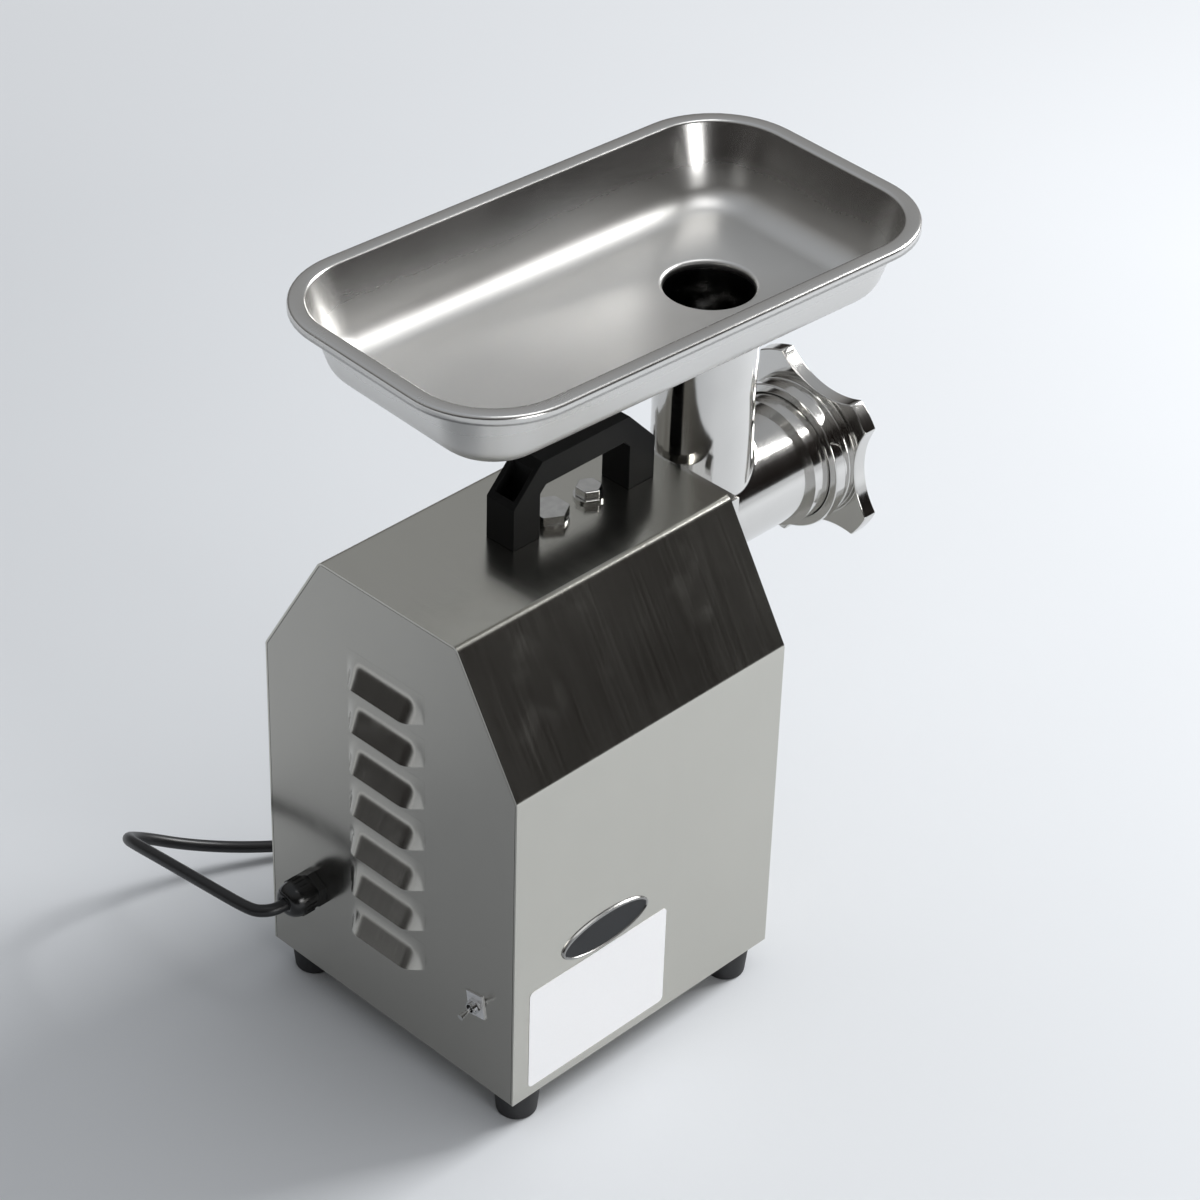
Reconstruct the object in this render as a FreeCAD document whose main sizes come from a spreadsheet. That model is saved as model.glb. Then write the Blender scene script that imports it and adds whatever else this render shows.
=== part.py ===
import FreeCAD, Part
import math
import os

import Sketcher
from FreeCAD import Placement, Rotation, Vector

# Electric meat grinder in millimetres: +Z up, the front (grinding head) towards -Y,
# the floor at z = 0 and the origin under the middle of the whole machine.

SIZES = {
    # housing of bent sheet
    "house_w": 190, "house_l": 196.6, "house_side_h": 203, "house_top_h": 276.3, "house_top_w": 101.5,
    "house_back": 51, "sheet_t": 1.2, "bend_r": 3, "panel_t": 1.5, "seam": 0.3, "base_t": 2,
    # louvres of the rear panel
    "louvre_count": 7, "louvre_l": 54, "louvre_h": 17, "louvre_out": 7.5, "louvre_x": 1.5, "louvre_low": 52,
    "louvre_pitch": 27.3,
    # rubber feet
    "foot_h": 20, "foot_r": 13, "foot_taper": 2, "foot_in": 14, "foot_end": 16.8, "foot_seat": 8,
         "foot_bore_r": 5.5,
    # small fasteners
    "screw_r": 2.5, "screw_head_r": 4.6, "screw_head_h": 3, "screw_nut_af": 8, "screw_nut_h": 4,
    "hole_gap": 0.1, "fit_gap": 0.05, "clear_gap": 0.3,
    # carry handle
    "handle_l": 103, "handle_w": 20, "handle_h": 46, "handle_leg": 19, "handle_wall_h": 25,
    "handle_slope": 20, "handle_bar_t": 15, "handle_front": 15.3, "handle_wall": 3, "handle_seat": 17,
    "handle_screw_r": 3, "handle_screw_head_r": 5, "handle_screw_head_h": 5, "handle_round": 4,
    # top bolt and oil plug
    "bolt_share": 0.298462, "bolt_af": 13, "bolt_head_h": 5.5, "bolt_r": 4, "bolt_reach": 14,
    "washer_r": 8.5, "washer_t": 1.6,
    "plug_share": 0.746154, "plug_af": 19, "plug_head_h": 5, "plug_flange_r": 10.8, "plug_flange_t": 1.5,
    "plug_r": 7, "plug_reach": 5,
    # cable gland and toggle switch
    "gland_x": 60, "gland_z": 57, "gland_r": 11, "gland_nose_r": 7.5, "gland_out": 22, "gland_thread_r": 8,
    "gland_nut_af": 22, "gland_nut_t": 5, "gland_groove": 0.8, "gland_collar_share": 0.3,
    "gland_step_share": 0.34, "gland_taper_share": 0.7,
    "switch_x": -67, "switch_z": 54, "switch_plate_w": 11.5, "switch_plate_h": 14.5, "switch_plate_t": 1,
    "switch_plate_turn": 10, "switch_bush_r": 3, "switch_bush_bore_r": 2.4, "switch_bush_out": 5,
    "switch_nut_af": 8, "switch_nut_t": 2, "switch_body_w": 13, "switch_body_h": 8, "switch_body_l": 12,
    "lever_ball_r": 2, "lever_r": 1.1, "lever_tip_r": 1.9, "lever_l": 10, "lever_pivot": 2,
         "lever_rest": 12.5,
    # grinding head
    "axis_drop": 41.8, "flange_w": 104, "flange_h": 78, "flange_t": 6, "head_bolt_x": 42, "head_bolt_z": 29,
    "head_bolt_r": 3, "head_bolt_af": 10, "head_bolt_head_h": 4, "head_bolt_reach": 6,
    "barrel_r": 33, "barrel_bore_r": 27, "barrel_floor": 12, "collar_r": 37, "collar_back": 85.7,
    "head_l": 106, "seat_back": 90, "seat_r": 31.2,
    "throat_front": 32, "throat_r": 27.7, "throat_bore_r": 25.9, "throat_rise": 134.4, "throat_fillet": 5,
    # parts in the barrel
    "auger_core_r": 11, "flight_r": 26.4, "flight_t": 5, "flight_pitch": 26, "flight_root": 1,
    "flight_tip_share": 0.2, "tang_w": 8, "tang_h": 18,
    "tang_l": 9, "square_w": 12, "pin_r": 5, "knife_r": 29, "knife_hub_r": 11, "knife_t": 7.6,
         "knife_w": 11,
    "plate_r": 31, "plate_t": 8, "plate_hole_r": 2.3, "plate_rings": 3, "plate_first_r": 10.5,
         "plate_ring_step": 7.2,
    "key_r": 2, "key_l": 6,
    # ring nut
    "nut_back": 96.7, "nut_rim_r": 42.5, "nut_rim_l": 8, "nut_body_r": 40.5, "nut_lug_r": 58,
         "nut_lug_back": 110,
    "nut_lug_l": 9, "nut_waist_r": 43.5, "nut_scallop_r": 47, "nut_lugs": 5, "nut_turn": 67, "nut_l": 26,
    "nut_lip_r": 27, "nut_gap": 0.3, "nut_front_r": 38,
    # feed tray
    "tray_l": 327, "tray_w": 180, "tray_corner_r": 52, "tray_depth": 44, "tray_rim": 9, "tray_lip": 5,
    "tray_t": 1, "tray_lean": 14.5, "tray_floor_r": 18, "tray_back": 70.6, "tray_turn": 3,
    "spout_r": 25.6, "spout_l": 44, "tray_gap": 0.1,
    # gearbox
    "case_half_w": 42, "case_wall": 6, "case_front": 9, "case_l": 83.5, "case_back_wall": 8,
         "case_bottom_drop": 102.5,
    "cover_half_w": 50, "cover_screw_r": 2, "cover_screw_head_r": 3.5, "cover_screw_head_h": 3,
         "cover_screw_l": 18,
    "gear_top_gap": 1,
    "out_module": 1.5, "out_teeth": 44, "out_pinion_teeth": 16, "lay_module": 1.25, "lay_teeth": 45,
    "motor_pinion_teeth": 15, "backlash": 0.4, "pressure_angle": 20, "tip_share": 0.85, "root_share": 1.15,
         "out_gear_at": 28, "out_gear_l": 16, "lay_gear_at": 58,
    "lay_gear_l": 12, "mesh_over": 1, "out_shaft_r": 14, "lay_shaft_r": 8, "out_bearing_r": 22,
         "lay_bearing_r": 15,
    "bearing_l": 7, "shaft_end_gap": 0.5,
    # motor
    "motor_r": 60, "motor_shell_t": 3, "bell_l": 10, "motor_end_gap": 14.6, "stator_gap": 8,
         "stator_bore_r": 34,
    "winding_l": 5.5, "winding_in_r": 38, "winding_out_r": 53, "air_gap": 0.4, "rotor_over": 1.5,
    "motor_shaft_r": 7, "motor_stub_r": 5, "motor_bearing_r": 15, "fan_r": 45, "fan_hub_r": 14, "fan_l": 6,
    "fan_blades": 8, "fan_blade_t": 2, "fan_gap": 1.5, "cradle_half_w": 45, "cradle_t": 4,
         "cradle_inset": 10,
    "cradle_foot_t": 3, "cradle_drop": 25,
    # power cord
    "cord_r": 3.5, "coil_x": 172, "coil_y": -48, "coil_r": 48, "coil_step": 7.6, "coil_turns": 2.25,
    "coil_climb": 0.5, "coil_tuck": 1.5, "coil_lift": 1.6, "coil_tail": 42, "tie_t": 1.2, "tie_w": 9,
         "tie_gap": 0.4,
    "mains_neck_r": 5.6, "mains_plug_r": 12, "mains_plug_l": 34, "mains_plug_nose_l": 14,
         "mains_pin_r": 2.4, "mains_pin_l": 19, "mains_pin_gap": 19,
}

# free stretch of the cord: x, y and z of each point of its route, from the gland to the coil
CORD_ROUTE = [
    (60, 171.3, 77), (60, 177, 77), (63.8, 183.4, 76.9), (70.2, 187.2, 76.5), (97, 188.4, 74.4),
    (124, 188, 70.6), (149, 186.6, 65.8), (173, 184.8, 60.4), (184.2, 180.1, 54.2), (191.9, 171.5, 45.6),
    (194, 158.5, 36.4), (189, 138, 23.6), (179, 112, 12.6), (164.5, 86, 7.2), (150.5, 61, 5.6),
    (138.5, 37, 5.2), (129.5, 13, 5.15), (124.8, -10.5, 5.1), (124, -33, 5.1),
]

AXIS_UP = Rotation(Vector(1, 0, 0), 90)
AXIS_FRONT = Rotation(Vector(0, 0, 1), 180)
AXIS_BACK = Rotation()
ROD_BACK = Rotation(Vector(1, 0, 0), -90)
ROD_FRONT = Rotation(Vector(1, 0, 0), 90)

doc = FreeCAD.newDocument("meat_grinder")
sheet = doc.addObject("Spreadsheet::Sheet", "Sizes")
for row, (alias, number) in enumerate(SIZES.items(), 1):
    sheet.set(f"A{row}", alias)
    sheet.set(f"B{row}", str(number))
    sheet.setAlias(f"B{row}", alias)
doc.recompute()


class Size:
    """A length with its value and the sheet expression that gives it."""

    def __init__(self, text, value):
        self.text = text
        self.value = value

    def __float__(self):
        return float(self.value)

    def __add__(self, other):
        return Size(f"({self.text} + {as_text(other)})", self.value + float(other))

    def __radd__(self, other):
        return self + other

    def __sub__(self, other):
        return Size(f"({self.text} - {as_text(other)})", self.value - float(other))

    def __rsub__(self, other):
        return Size(f"({as_text(other)} - {self.text})", float(other) - self.value)

    def __mul__(self, other):
        return Size(f"({self.text} * {as_text(other)})", self.value * float(other))

    def __rmul__(self, other):
        return self * other

    def __truediv__(self, other):
        return Size(f"({self.text} / {as_text(other)})", self.value / float(other))

    def __neg__(self):
        return Size(f"(-1 * {self.text})", -self.value)

    def root(self):
        return Size(f"sqrt({self.text})", math.sqrt(self.value))


class SizeSheet:
    """Reads each alias of the sheet as a Size."""

    def __getattr__(self, alias):
        return Size(f"Sizes.{alias}", float(sheet.get(alias)))


def as_text(value):
    return value.text if isinstance(value, Size) else repr(float(value))


def bind(obj, prop, value):
    obj.setExpression(prop, as_text(value))


def place(obj, x=0, y=0, z=0, turn=None):
    if turn is not None:
        obj.Placement = Placement(Vector(), turn)
    for axis, value in zip("xyz", (x, y, z)):
        bind(obj, f"Placement.Base.{axis}", value)
    return obj


def pin_corner(sketch, line, kind, value, axis):
    """Hold a line's first point at a distance from the sketch's origin."""
    if float(value) == 0:
        sketch.addConstraint(Sketcher.Constraint("PointOnObject", line, 1, axis))
        return
    number = sketch.addConstraint(Sketcher.Constraint(kind, -1, 1, line, 1, float(value)))
    bind(sketch, f"Constraints[{number}]", value)


def outlined_body(name, plane, points):
    """A body with a closed polygon sketch on one of its origin planes."""
    body = doc.addObject("PartDesign::Body", name)
    sketch = body.newObject("Sketcher::SketchObject", name + "_outline")
    support = next(f for f in body.Origin.OriginFeatures if f.Role == plane)
    sketch.AttachmentSupport = (support, [""])
    sketch.MapMode = "FlatFace"
    corners = [Vector(float(u), float(v), 0) for u, v in points]
    for start, end in zip(corners, corners[1:] + corners[:1]):
        sketch.addGeometry(Part.LineSegment(start, end))
    for line, (u, v) in enumerate(points):
        sketch.addConstraint(Sketcher.Constraint("Coincident", line, 2, (line + 1) % len(points), 1))
    for line, (u, v) in enumerate(points):
        pin_corner(sketch, line, "DistanceX", u, -2)
        pin_corner(sketch, line, "DistanceY", v, -1)
    return body, sketch


def prism(name, plane, points, length, x=0, y=0, z=0):
    """A polygon padded square to its plane: towards -Y from XZ_Plane, +X from YZ_Plane, +Z from XY_Plane."""
    body, sketch = outlined_body(name, plane, points)
    pad = body.newObject("PartDesign::Pad", name + "_pad")
    pad.Profile = sketch
    bind(pad, "Length", length)
    return place(body, x, y, z)


def turned(name, points, x=0, y=0, z=0, turn=AXIS_FRONT):
    """A polygon of (radius, distance along the axis) turned about its axis."""
    body, sketch = outlined_body(name, "XY_Plane", points)
    revolution = body.newObject("PartDesign::Revolution", name + "_turn")
    revolution.Profile = sketch
    revolution.ReferenceAxis = (sketch, ["V_Axis"])
    revolution.Angle = 360
    return place(body, x, y, z, turn)


def ring(name, inner, outer, start, end, x=0, y=0, z=0, turn=AXIS_BACK):
    return turned(name, [(inner, start), (outer, start), (outer, end), (inner, end)], x, y, z, turn)


def rod(name, radius, length, x=0, y=0, z=0, turn=None):
    obj = doc.addObject("Part::Cylinder", name)
    bind(obj, "Radius", radius)
    bind(obj, "Height", length)
    return place(obj, x, y, z, turn)


def block(name, length_x, length_y, length_z, x=0, y=0, z=0):
    obj = doc.addObject("Part::Box", name)
    for prop, value in zip(("Length", "Width", "Height"), (length_x, length_y, length_z)):
        bind(obj, prop, value)
    return place(obj, x, y, z)


def hexagon(name, across, height, x=0, y=0, z=0, turn=None):
    obj = doc.addObject("Part::Prism", name)
    obj.Polygon = 6
    bind(obj, "Circumradius", across / math.sqrt(3))
    bind(obj, "Height", height)
    return place(obj, x, y, z, turn)


def join(name, shapes):
    obj = doc.addObject("Part::MultiFuse", name)
    obj.Shapes = shapes
    return obj


def cut(name, base, tools):
    obj = doc.addObject("Part::Cut", name)
    obj.Base = base
    obj.Tool = tools[0] if len(tools) == 1 else join(name + "_tools", tools)
    return obj


def group(name, shapes):
    obj = doc.addObject("Part::Compound", name)
    obj.Links = shapes
    return obj


def solid_feature(name, shape):
    obj = doc.addObject("Part::Feature", name)
    obj.Shape = shape
    return obj


def round_bends(body, name, corners, radius):
    """Round the body's straight edges that run along Y through the given (x, z) corners."""
    doc.recompute()
    names = []
    for number, edge in enumerate(body.Tip.Shape.Edges, 1):
        start, end = edge.Vertexes[0].Point, edge.Vertexes[-1].Point
        along = abs(start.x - end.x) < 1e-6 and abs(start.z - end.z) < 1e-6
        near = any(abs(start.x - float(x)) < 0.01 and abs(start.z - float(z)) < 0.01 for x, z in corners)
        if along and near:
            names.append(f"Edge{number}")
    base = body.Tip
    fillet = body.newObject("PartDesign::Fillet", name)
    fillet.Base = (base, names)
    bind(fillet, "Radius", radius)


nodes = {}


def node(name, obj):
    obj.Label = name
    nodes[name] = obj
    return obj


s = SizeSheet()
front_y = s.house_back - s.house_l / 2
rear_y = s.house_back + s.house_l / 2
base_z = s.foot_h
side_z = base_z + s.house_side_h
top_z = base_z + s.house_top_h
axis_z = top_z - s.axis_drop
side_run = (s.house_w - s.house_top_w) / 2
side_rise = s.house_top_h - s.house_side_h
slope_l = (side_run * side_run + side_rise * side_rise).root()
low_share = (slope_l - side_rise) / side_run
high_share = (slope_l - side_run) / side_rise


def house_outline(depth):
    """Corners of the housing's section, moved in by a depth on every side but the open bottom."""
    low = (s.house_w / 2 - depth, side_z - depth * low_share)
    high = (s.house_top_w / 2 - depth * high_share, top_z - depth)
    right = [(low[0], base_z), low, high]
    left = [(-x, z) for x, z in right]
    return left + right[::-1]


# housing
panel_depth = s.sheet_t + s.seam
outer, inner = house_outline(0), house_outline(s.sheet_t)
wrap = prism("wrap_sheet", "XZ_Plane", outer + inner[::-1], s.house_l, y=rear_y)
round_bends(wrap, "outer_bends", outer[1:5], s.bend_r + s.sheet_t)
round_bends(wrap, "inner_bends", inner[1:5], s.bend_r)

handle_front_y = front_y + s.handle_front
handle_rear_y = handle_front_y + s.handle_l
handle_screw_y = [handle_front_y + s.handle_leg / 2, handle_rear_y - s.handle_leg / 2]
handle_gap_y = handle_front_y + s.handle_leg
handle_gap = s.handle_l - s.handle_leg * 2
bolt_y = handle_gap_y + handle_gap * s.bolt_share
plug_y = handle_gap_y + handle_gap * s.plug_share
top_holes = [
    rod(f"handle_hole_{i}", s.handle_screw_r + s.hole_gap, s.sheet_t * 4, 0, y, top_z - s.sheet_t * 2)
    for i, y in enumerate(handle_screw_y)
]
top_holes.append(rod("bolt_hole", s.bolt_r + s.hole_gap, s.sheet_t * 4, 0, bolt_y, top_z - s.sheet_t * 2))
top_holes.append(rod("plug_hole", s.plug_r + s.hole_gap, s.sheet_t * 4, 0, plug_y, top_z - s.sheet_t * 2))
node("wrap_cover", cut("wrap_cut", wrap, top_holes))

gland_z = base_z + s.gland_z
switch_z = base_z + s.switch_z
rear_plate = prism("rear_sheet", "XZ_Plane", house_outline(panel_depth), s.panel_t, y=rear_y)
hoods, hollows = [], []
for i in range(int(float(s.louvre_count))):
    hood_z = base_z + s.louvre_low + s.louvre_pitch * i
    hood = [(0, 0), (s.louvre_out, 0), (0, s.louvre_h)]
    hoods.append(prism(f"hood_{i}", "YZ_Plane", hood, s.louvre_l, s.louvre_x - s.louvre_l / 2, rear_y,
                       hood_z))
    depth = s.panel_t * 2
    reach = s.louvre_out - s.sheet_t
    hollow = [(-depth, 0), (reach, 0), (-depth, s.louvre_h * (reach + depth) / s.louvre_out)]
    hollows.append(prism(f"hollow_{i}", "YZ_Plane", hollow, s.louvre_l - s.sheet_t * 2,
                         s.louvre_x - s.louvre_l / 2 + s.sheet_t, rear_y, hood_z))
rear_tools = hollows + [
    rod("gland_hole", s.gland_thread_r + s.hole_gap, s.panel_t * 3, s.gland_x, rear_y - s.panel_t * 2,
        gland_z, ROD_BACK),
    rod("switch_hole", s.switch_bush_r + s.hole_gap, s.panel_t * 3, s.switch_x, rear_y - s.panel_t * 2,
        switch_z, ROD_BACK),
]
node("rear_panel", cut("rear_cut", join("rear_join", [rear_plate] + hoods), rear_tools))

head_bolts = [(x, axis_z + z) for x in (-s.head_bolt_x, s.head_bolt_x)
              for z in (-s.head_bolt_z, s.head_bolt_z)]
front_plate = prism("front_sheet", "XZ_Plane", house_outline(panel_depth), s.panel_t, y=front_y + s.panel_t)
front_tools = [rod("shaft_hole", s.out_shaft_r + s.clear_gap, s.panel_t * 3, 0, front_y - s.panel_t, axis_z,
                   ROD_BACK)]
for i, (x, z) in enumerate(head_bolts):
    front_tools.append(rod(f"front_hole_{i}", s.head_bolt_r + s.hole_gap, s.panel_t * 3, x,
                           front_y - s.panel_t, z, ROD_BACK))
node("front_panel", cut("front_cut", front_plate, front_tools))

base_in = panel_depth
base_front = front_y + s.panel_t + s.seam
base_l = s.house_l - (s.panel_t + s.seam) * 2
base_slab = block("base_slab", s.house_w - base_in * 2, base_l, s.base_t, base_in - s.house_w / 2,
                  base_front, base_z)
feet = {"foot_front_left": (-1, -1), "foot_front_right": (1, -1), "foot_rear_left": (-1, 1),
        "foot_rear_right": (1, 1)}
foot_x = s.house_w / 2 - s.foot_in
foot_y = s.house_l / 2 - s.foot_end
foot_places = [(foot_x * side, s.house_back + foot_y * end) for side, end in feet.values()]
base_holes = [rod(f"base_hole_{i}", s.screw_r + s.hole_gap, s.base_t * 3, x, y, base_z - s.base_t)
              for i, (x, y) in enumerate(foot_places)]
node("base_plate", cut("base_cut", base_slab, base_holes))

# feet with their screws and nuts
foot_outline = [
    (s.foot_bore_r, 0), (s.foot_r - s.foot_taper, 0), (s.foot_r, s.foot_h),
                (s.screw_r + s.hole_gap, s.foot_h),
    (s.screw_r + s.hole_gap, s.foot_seat), (s.foot_bore_r, s.foot_seat),
]
screws, nuts = [], []
screw_top = base_z + s.base_t + s.screw_nut_h
for i, (name, (x, y)) in enumerate(zip(feet, foot_places)):
    node(name, turned(name + "_body", foot_outline, x, y, 0, AXIS_UP))
    low = s.foot_seat - s.screw_head_h
    screw = [(0, low), (s.screw_head_r, low), (s.screw_head_r, s.foot_seat), (s.screw_r, s.foot_seat),
             (s.screw_r, screw_top + s.fit_gap), (0, screw_top + s.fit_gap)]
    screws.append(turned(f"foot_screw_{i}", screw, x, y, 0, AXIS_UP))
    blank = hexagon(f"nut_blank_{i}", s.screw_nut_af, s.screw_nut_h, x, y, base_z + s.base_t)
    bore = rod(f"nut_bore_{i}", s.screw_r + s.fit_gap, s.screw_nut_h * 2, x, y, base_z)
    nuts.append(cut(f"foot_nut_{i}", blank, [bore]))
node("foot_screws", group("foot_screw_set", screws))
node("foot_nuts", group("foot_nut_set", nuts))

# carry handle: a bridge with sloped shoulders, an open recess in each shoulder holds its screw
leg, wall_h, slope = s.handle_leg, s.handle_wall_h, s.handle_slope
under = s.handle_h - s.handle_bar_t
handle_outline = [
    (0, 0), (leg, 0), (leg, under - s.handle_round), (leg + s.handle_round, under),
    (s.handle_l - leg - s.handle_round, under), (s.handle_l - leg, under - s.handle_round),
                  (s.handle_l - leg, 0),
    (s.handle_l, 0), (s.handle_l, wall_h), (s.handle_l - slope, s.handle_h), (slope, s.handle_h),
                  (0, wall_h),
]
bridge = prism("handle_bridge", "YZ_Plane", handle_outline, s.handle_w, -s.handle_w / 2, handle_front_y,
               top_z)
recess_l = leg - s.handle_wall * 2
recess_w = s.handle_w - s.handle_wall * 2
handle_tools = []
for i, y in enumerate(handle_screw_y):
    handle_tools.append(block(f"handle_recess_{i}", recess_w, recess_l, s.handle_h, -recess_w / 2,
                              y - recess_l / 2,
                              top_z + s.handle_seat))
    handle_tools.append(rod(f"handle_bore_{i}", s.handle_screw_r + s.hole_gap, s.handle_h, 0, y,
                            top_z - s.sheet_t))
node("carry_handle", cut("handle_cut", bridge, handle_tools))
handle_screws = []
screw_drop = s.handle_seat + s.sheet_t
for i, y in enumerate(handle_screw_y):
    screw = [(0, -screw_drop), (s.handle_screw_r, -screw_drop), (s.handle_screw_r, 0),
             (s.handle_screw_head_r, 0),
             (s.handle_screw_head_r, s.handle_screw_head_h), (0, s.handle_screw_head_h)]
    handle_screws.append(turned(f"handle_screw_{i}", screw, 0, y, top_z + s.handle_seat, AXIS_UP))
node("handle_screws", group("handle_screw_set", handle_screws))

# top bolt on its washer, and oil plug
case_top = top_z - s.sheet_t - s.seam
washer = ring("washer_ring", s.bolt_r + s.hole_gap, s.washer_r, 0, s.washer_t, 0, bolt_y, top_z, AXIS_UP)
node("top_washer", washer)
bolt_head_z = top_z + s.washer_t
node("top_bolt", join("bolt_join", [
    hexagon("bolt_head", s.bolt_af, s.bolt_head_h, 0, bolt_y, bolt_head_z),
    rod("bolt_shank", s.bolt_r, s.bolt_reach, 0, bolt_y, bolt_head_z - s.bolt_reach),
]))
node("oil_plug", join("plug_join", [
    rod("plug_flange", s.plug_flange_r, s.plug_flange_t, 0, plug_y, top_z),
    hexagon("plug_head", s.plug_af, s.plug_head_h, 0, plug_y, top_z + s.plug_flange_t),
    rod("plug_stub", s.plug_r, s.plug_reach + s.plug_flange_t, 0, plug_y, top_z - s.plug_reach),
]))

# cable gland with its lock nut inside the rear panel
gland_out = s.gland_out
gland_in = s.panel_t + s.gland_nut_t + s.clear_gap
gland_neck_r = s.gland_r - s.gland_groove
gland_outline = [
    (0, -gland_in), (s.gland_thread_r, -gland_in), (s.gland_thread_r, 0), (s.gland_r, 0),
    (s.gland_r, gland_out * s.gland_collar_share), (gland_neck_r, gland_out * s.gland_step_share),
    (gland_neck_r, gland_out * s.gland_taper_share), (s.gland_nose_r, gland_out), (0, gland_out),
]
node("cable_gland", turned("gland_turned", gland_outline, s.gland_x, rear_y, gland_z, AXIS_BACK))
gland_nut_y = rear_y - s.panel_t - s.gland_nut_t
node("gland_nut", cut("gland_nut_cut", hexagon("gland_nut_blank", s.gland_nut_af, s.gland_nut_t, s.gland_x,
                                               gland_nut_y, gland_z, ROD_BACK),
                      [rod("gland_nut_bore", s.gland_thread_r + s.fit_gap, s.gland_nut_t * 2, s.gland_x,
                           gland_nut_y - s.fit_gap, gland_z, ROD_BACK)]))

# toggle switch: body behind the panel, threaded bush through it, plate and nut outside, lever in the bush
body_y = rear_y - s.panel_t - s.switch_body_l
switch_box = block("switch_box", s.switch_body_w, s.switch_body_l, s.switch_body_h,
                   s.switch_x - s.switch_body_w / 2, body_y,
                   switch_z - s.switch_body_h / 2)
bush_l = s.panel_t + s.switch_bush_out
bush = rod("switch_bush", s.switch_bush_r, bush_l, s.switch_x, rear_y - s.panel_t, switch_z, ROD_BACK)
lever_y = rear_y + s.lever_pivot
well = rod("switch_well", s.switch_bush_bore_r, bush_l + s.lever_ball_r, s.switch_x,
           lever_y - s.lever_ball_r - s.clear_gap, switch_z, ROD_BACK)
node("switch_body", cut("switch_cut", join("switch_join", [switch_box, bush]), [well]))
plate_w, plate_h = s.switch_plate_w, s.switch_plate_h
plate_blank = prism("plate_blank", "XZ_Plane", [(-plate_w / 2, -plate_h / 2), (plate_w / 2, -plate_h / 2),
                                               (plate_w / 2, plate_h / 2), (-plate_w / 2, plate_h / 2)],
                    s.switch_plate_t)
plate_blank.Placement = Placement(Vector(), Rotation(Vector(0, 1, 0), float(s.switch_plate_turn)))
place(plate_blank, s.switch_x, rear_y + s.switch_plate_t, switch_z)
plate_hole = rod("plate_hole", s.switch_bush_r + s.fit_gap, s.switch_plate_t * 3, s.switch_x,
                 rear_y - s.switch_plate_t, switch_z, ROD_BACK)
node("switch_plate", cut("plate_cut", plate_blank, [plate_hole]))
nut_blank = hexagon("switch_nut_blank", s.switch_nut_af, s.switch_nut_t, s.switch_x,
                    rear_y + s.switch_plate_t, switch_z, ROD_BACK)
nut_hole = rod("switch_nut_hole", s.switch_bush_r + s.fit_gap, s.switch_nut_t * 3, s.switch_x, rear_y,
               switch_z, ROD_BACK)
node("switch_nut", cut("switch_nut_cut", nut_blank, [nut_hole]))
lever_turn = Rotation(Vector(1, 0, 0), -float(s.lever_rest))
lever = join("lever_join", [
    rod("lever_stem", s.lever_r, s.lever_l, turn=ROD_BACK),
    turned("lever_tip", [(0, s.lever_l / 2), (s.lever_r, s.lever_l / 2), (s.lever_tip_r, s.lever_l),
                         (0, s.lever_l)], turn=AXIS_BACK),
])
ball = doc.addObject("Part::Sphere", "lever_ball")
bind(ball, "Radius", s.lever_ball_r)
lever.Shapes = lever.Shapes + [ball]
node("switch_lever", place(lever, s.switch_x, lever_y, switch_z, lever_turn))

# grinding head casting: flange, barrel, collar and throat, with the bores through them
flange = block("head_flange", s.flange_w, s.flange_t, s.flange_h, -s.flange_w / 2, front_y - s.flange_t,
               axis_z - s.flange_h / 2)
barrel = turned("head_barrel", [(0, 0), (s.barrel_r, 0), (s.barrel_r, s.collar_back),
                                (s.collar_r, s.collar_back),
                                (s.collar_r, s.head_l), (0, s.head_l)], 0, front_y, axis_z)
throat_y = front_y - s.throat_front
throat_top = axis_z + s.throat_rise
throat = rod("head_throat", s.throat_r, s.throat_rise, 0, throat_y, axis_z)
head_solid = join("head_join", [flange, barrel, throat])
bore = turned("head_bore", [
    (0, -s.flange_t), (s.out_shaft_r + s.clear_gap, -s.flange_t),
                            (s.out_shaft_r + s.clear_gap, s.barrel_floor),
    (s.barrel_bore_r, s.barrel_floor), (s.barrel_bore_r, s.seat_back), (s.seat_r, s.seat_back),
    (s.seat_r, s.head_l + s.flange_t), (0, s.head_l + s.flange_t)], 0, front_y, axis_z)
throat_bore = rod("throat_bore", s.throat_bore_r, throat_top, 0, throat_y, axis_z)
key_at = s.seat_back + s.knife_t + s.clear_gap * 2 + s.plate_t / 2
key_z = axis_z + s.seat_r - s.key_l / 2
key_hole = rod("key_hole", s.key_r + s.fit_gap, s.key_l + s.fit_gap, 0, front_y - key_at, key_z)
head_tools = [bore, throat_bore, key_hole]
for i, (x, z) in enumerate(head_bolts):
    head_tools.append(rod(f"head_hole_{i}", s.head_bolt_r + s.hole_gap, s.flange_t * 2, x,
                          front_y + s.flange_t / 2, z, ROD_FRONT))
doc.recompute()
joint_edges = []
for number, edge in enumerate(head_solid.Shape.Edges, 1):
    box = edge.BoundBox
    centred = abs(box.Center.y - float(throat_y)) < float(s.throat_fillet)
    on_throat = centred and box.XLength > float(s.throat_r)
    if on_throat and box.ZMin > float(axis_z) and box.ZMax < float(throat_top - s.throat_fillet):
        joint_edges.append(number)
head_fillet = doc.addObject("Part::Fillet", "head_fillet")
head_fillet.Base = head_solid
head_fillet.Edges = [(number, float(s.throat_fillet), float(s.throat_fillet)) for number in joint_edges]
node("grinder_head", cut("head_cut", head_fillet, head_tools))
node("plate_key", rod("key_pin", s.key_r, s.key_l, 0, front_y - key_at, key_z))
bolts = []
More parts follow.
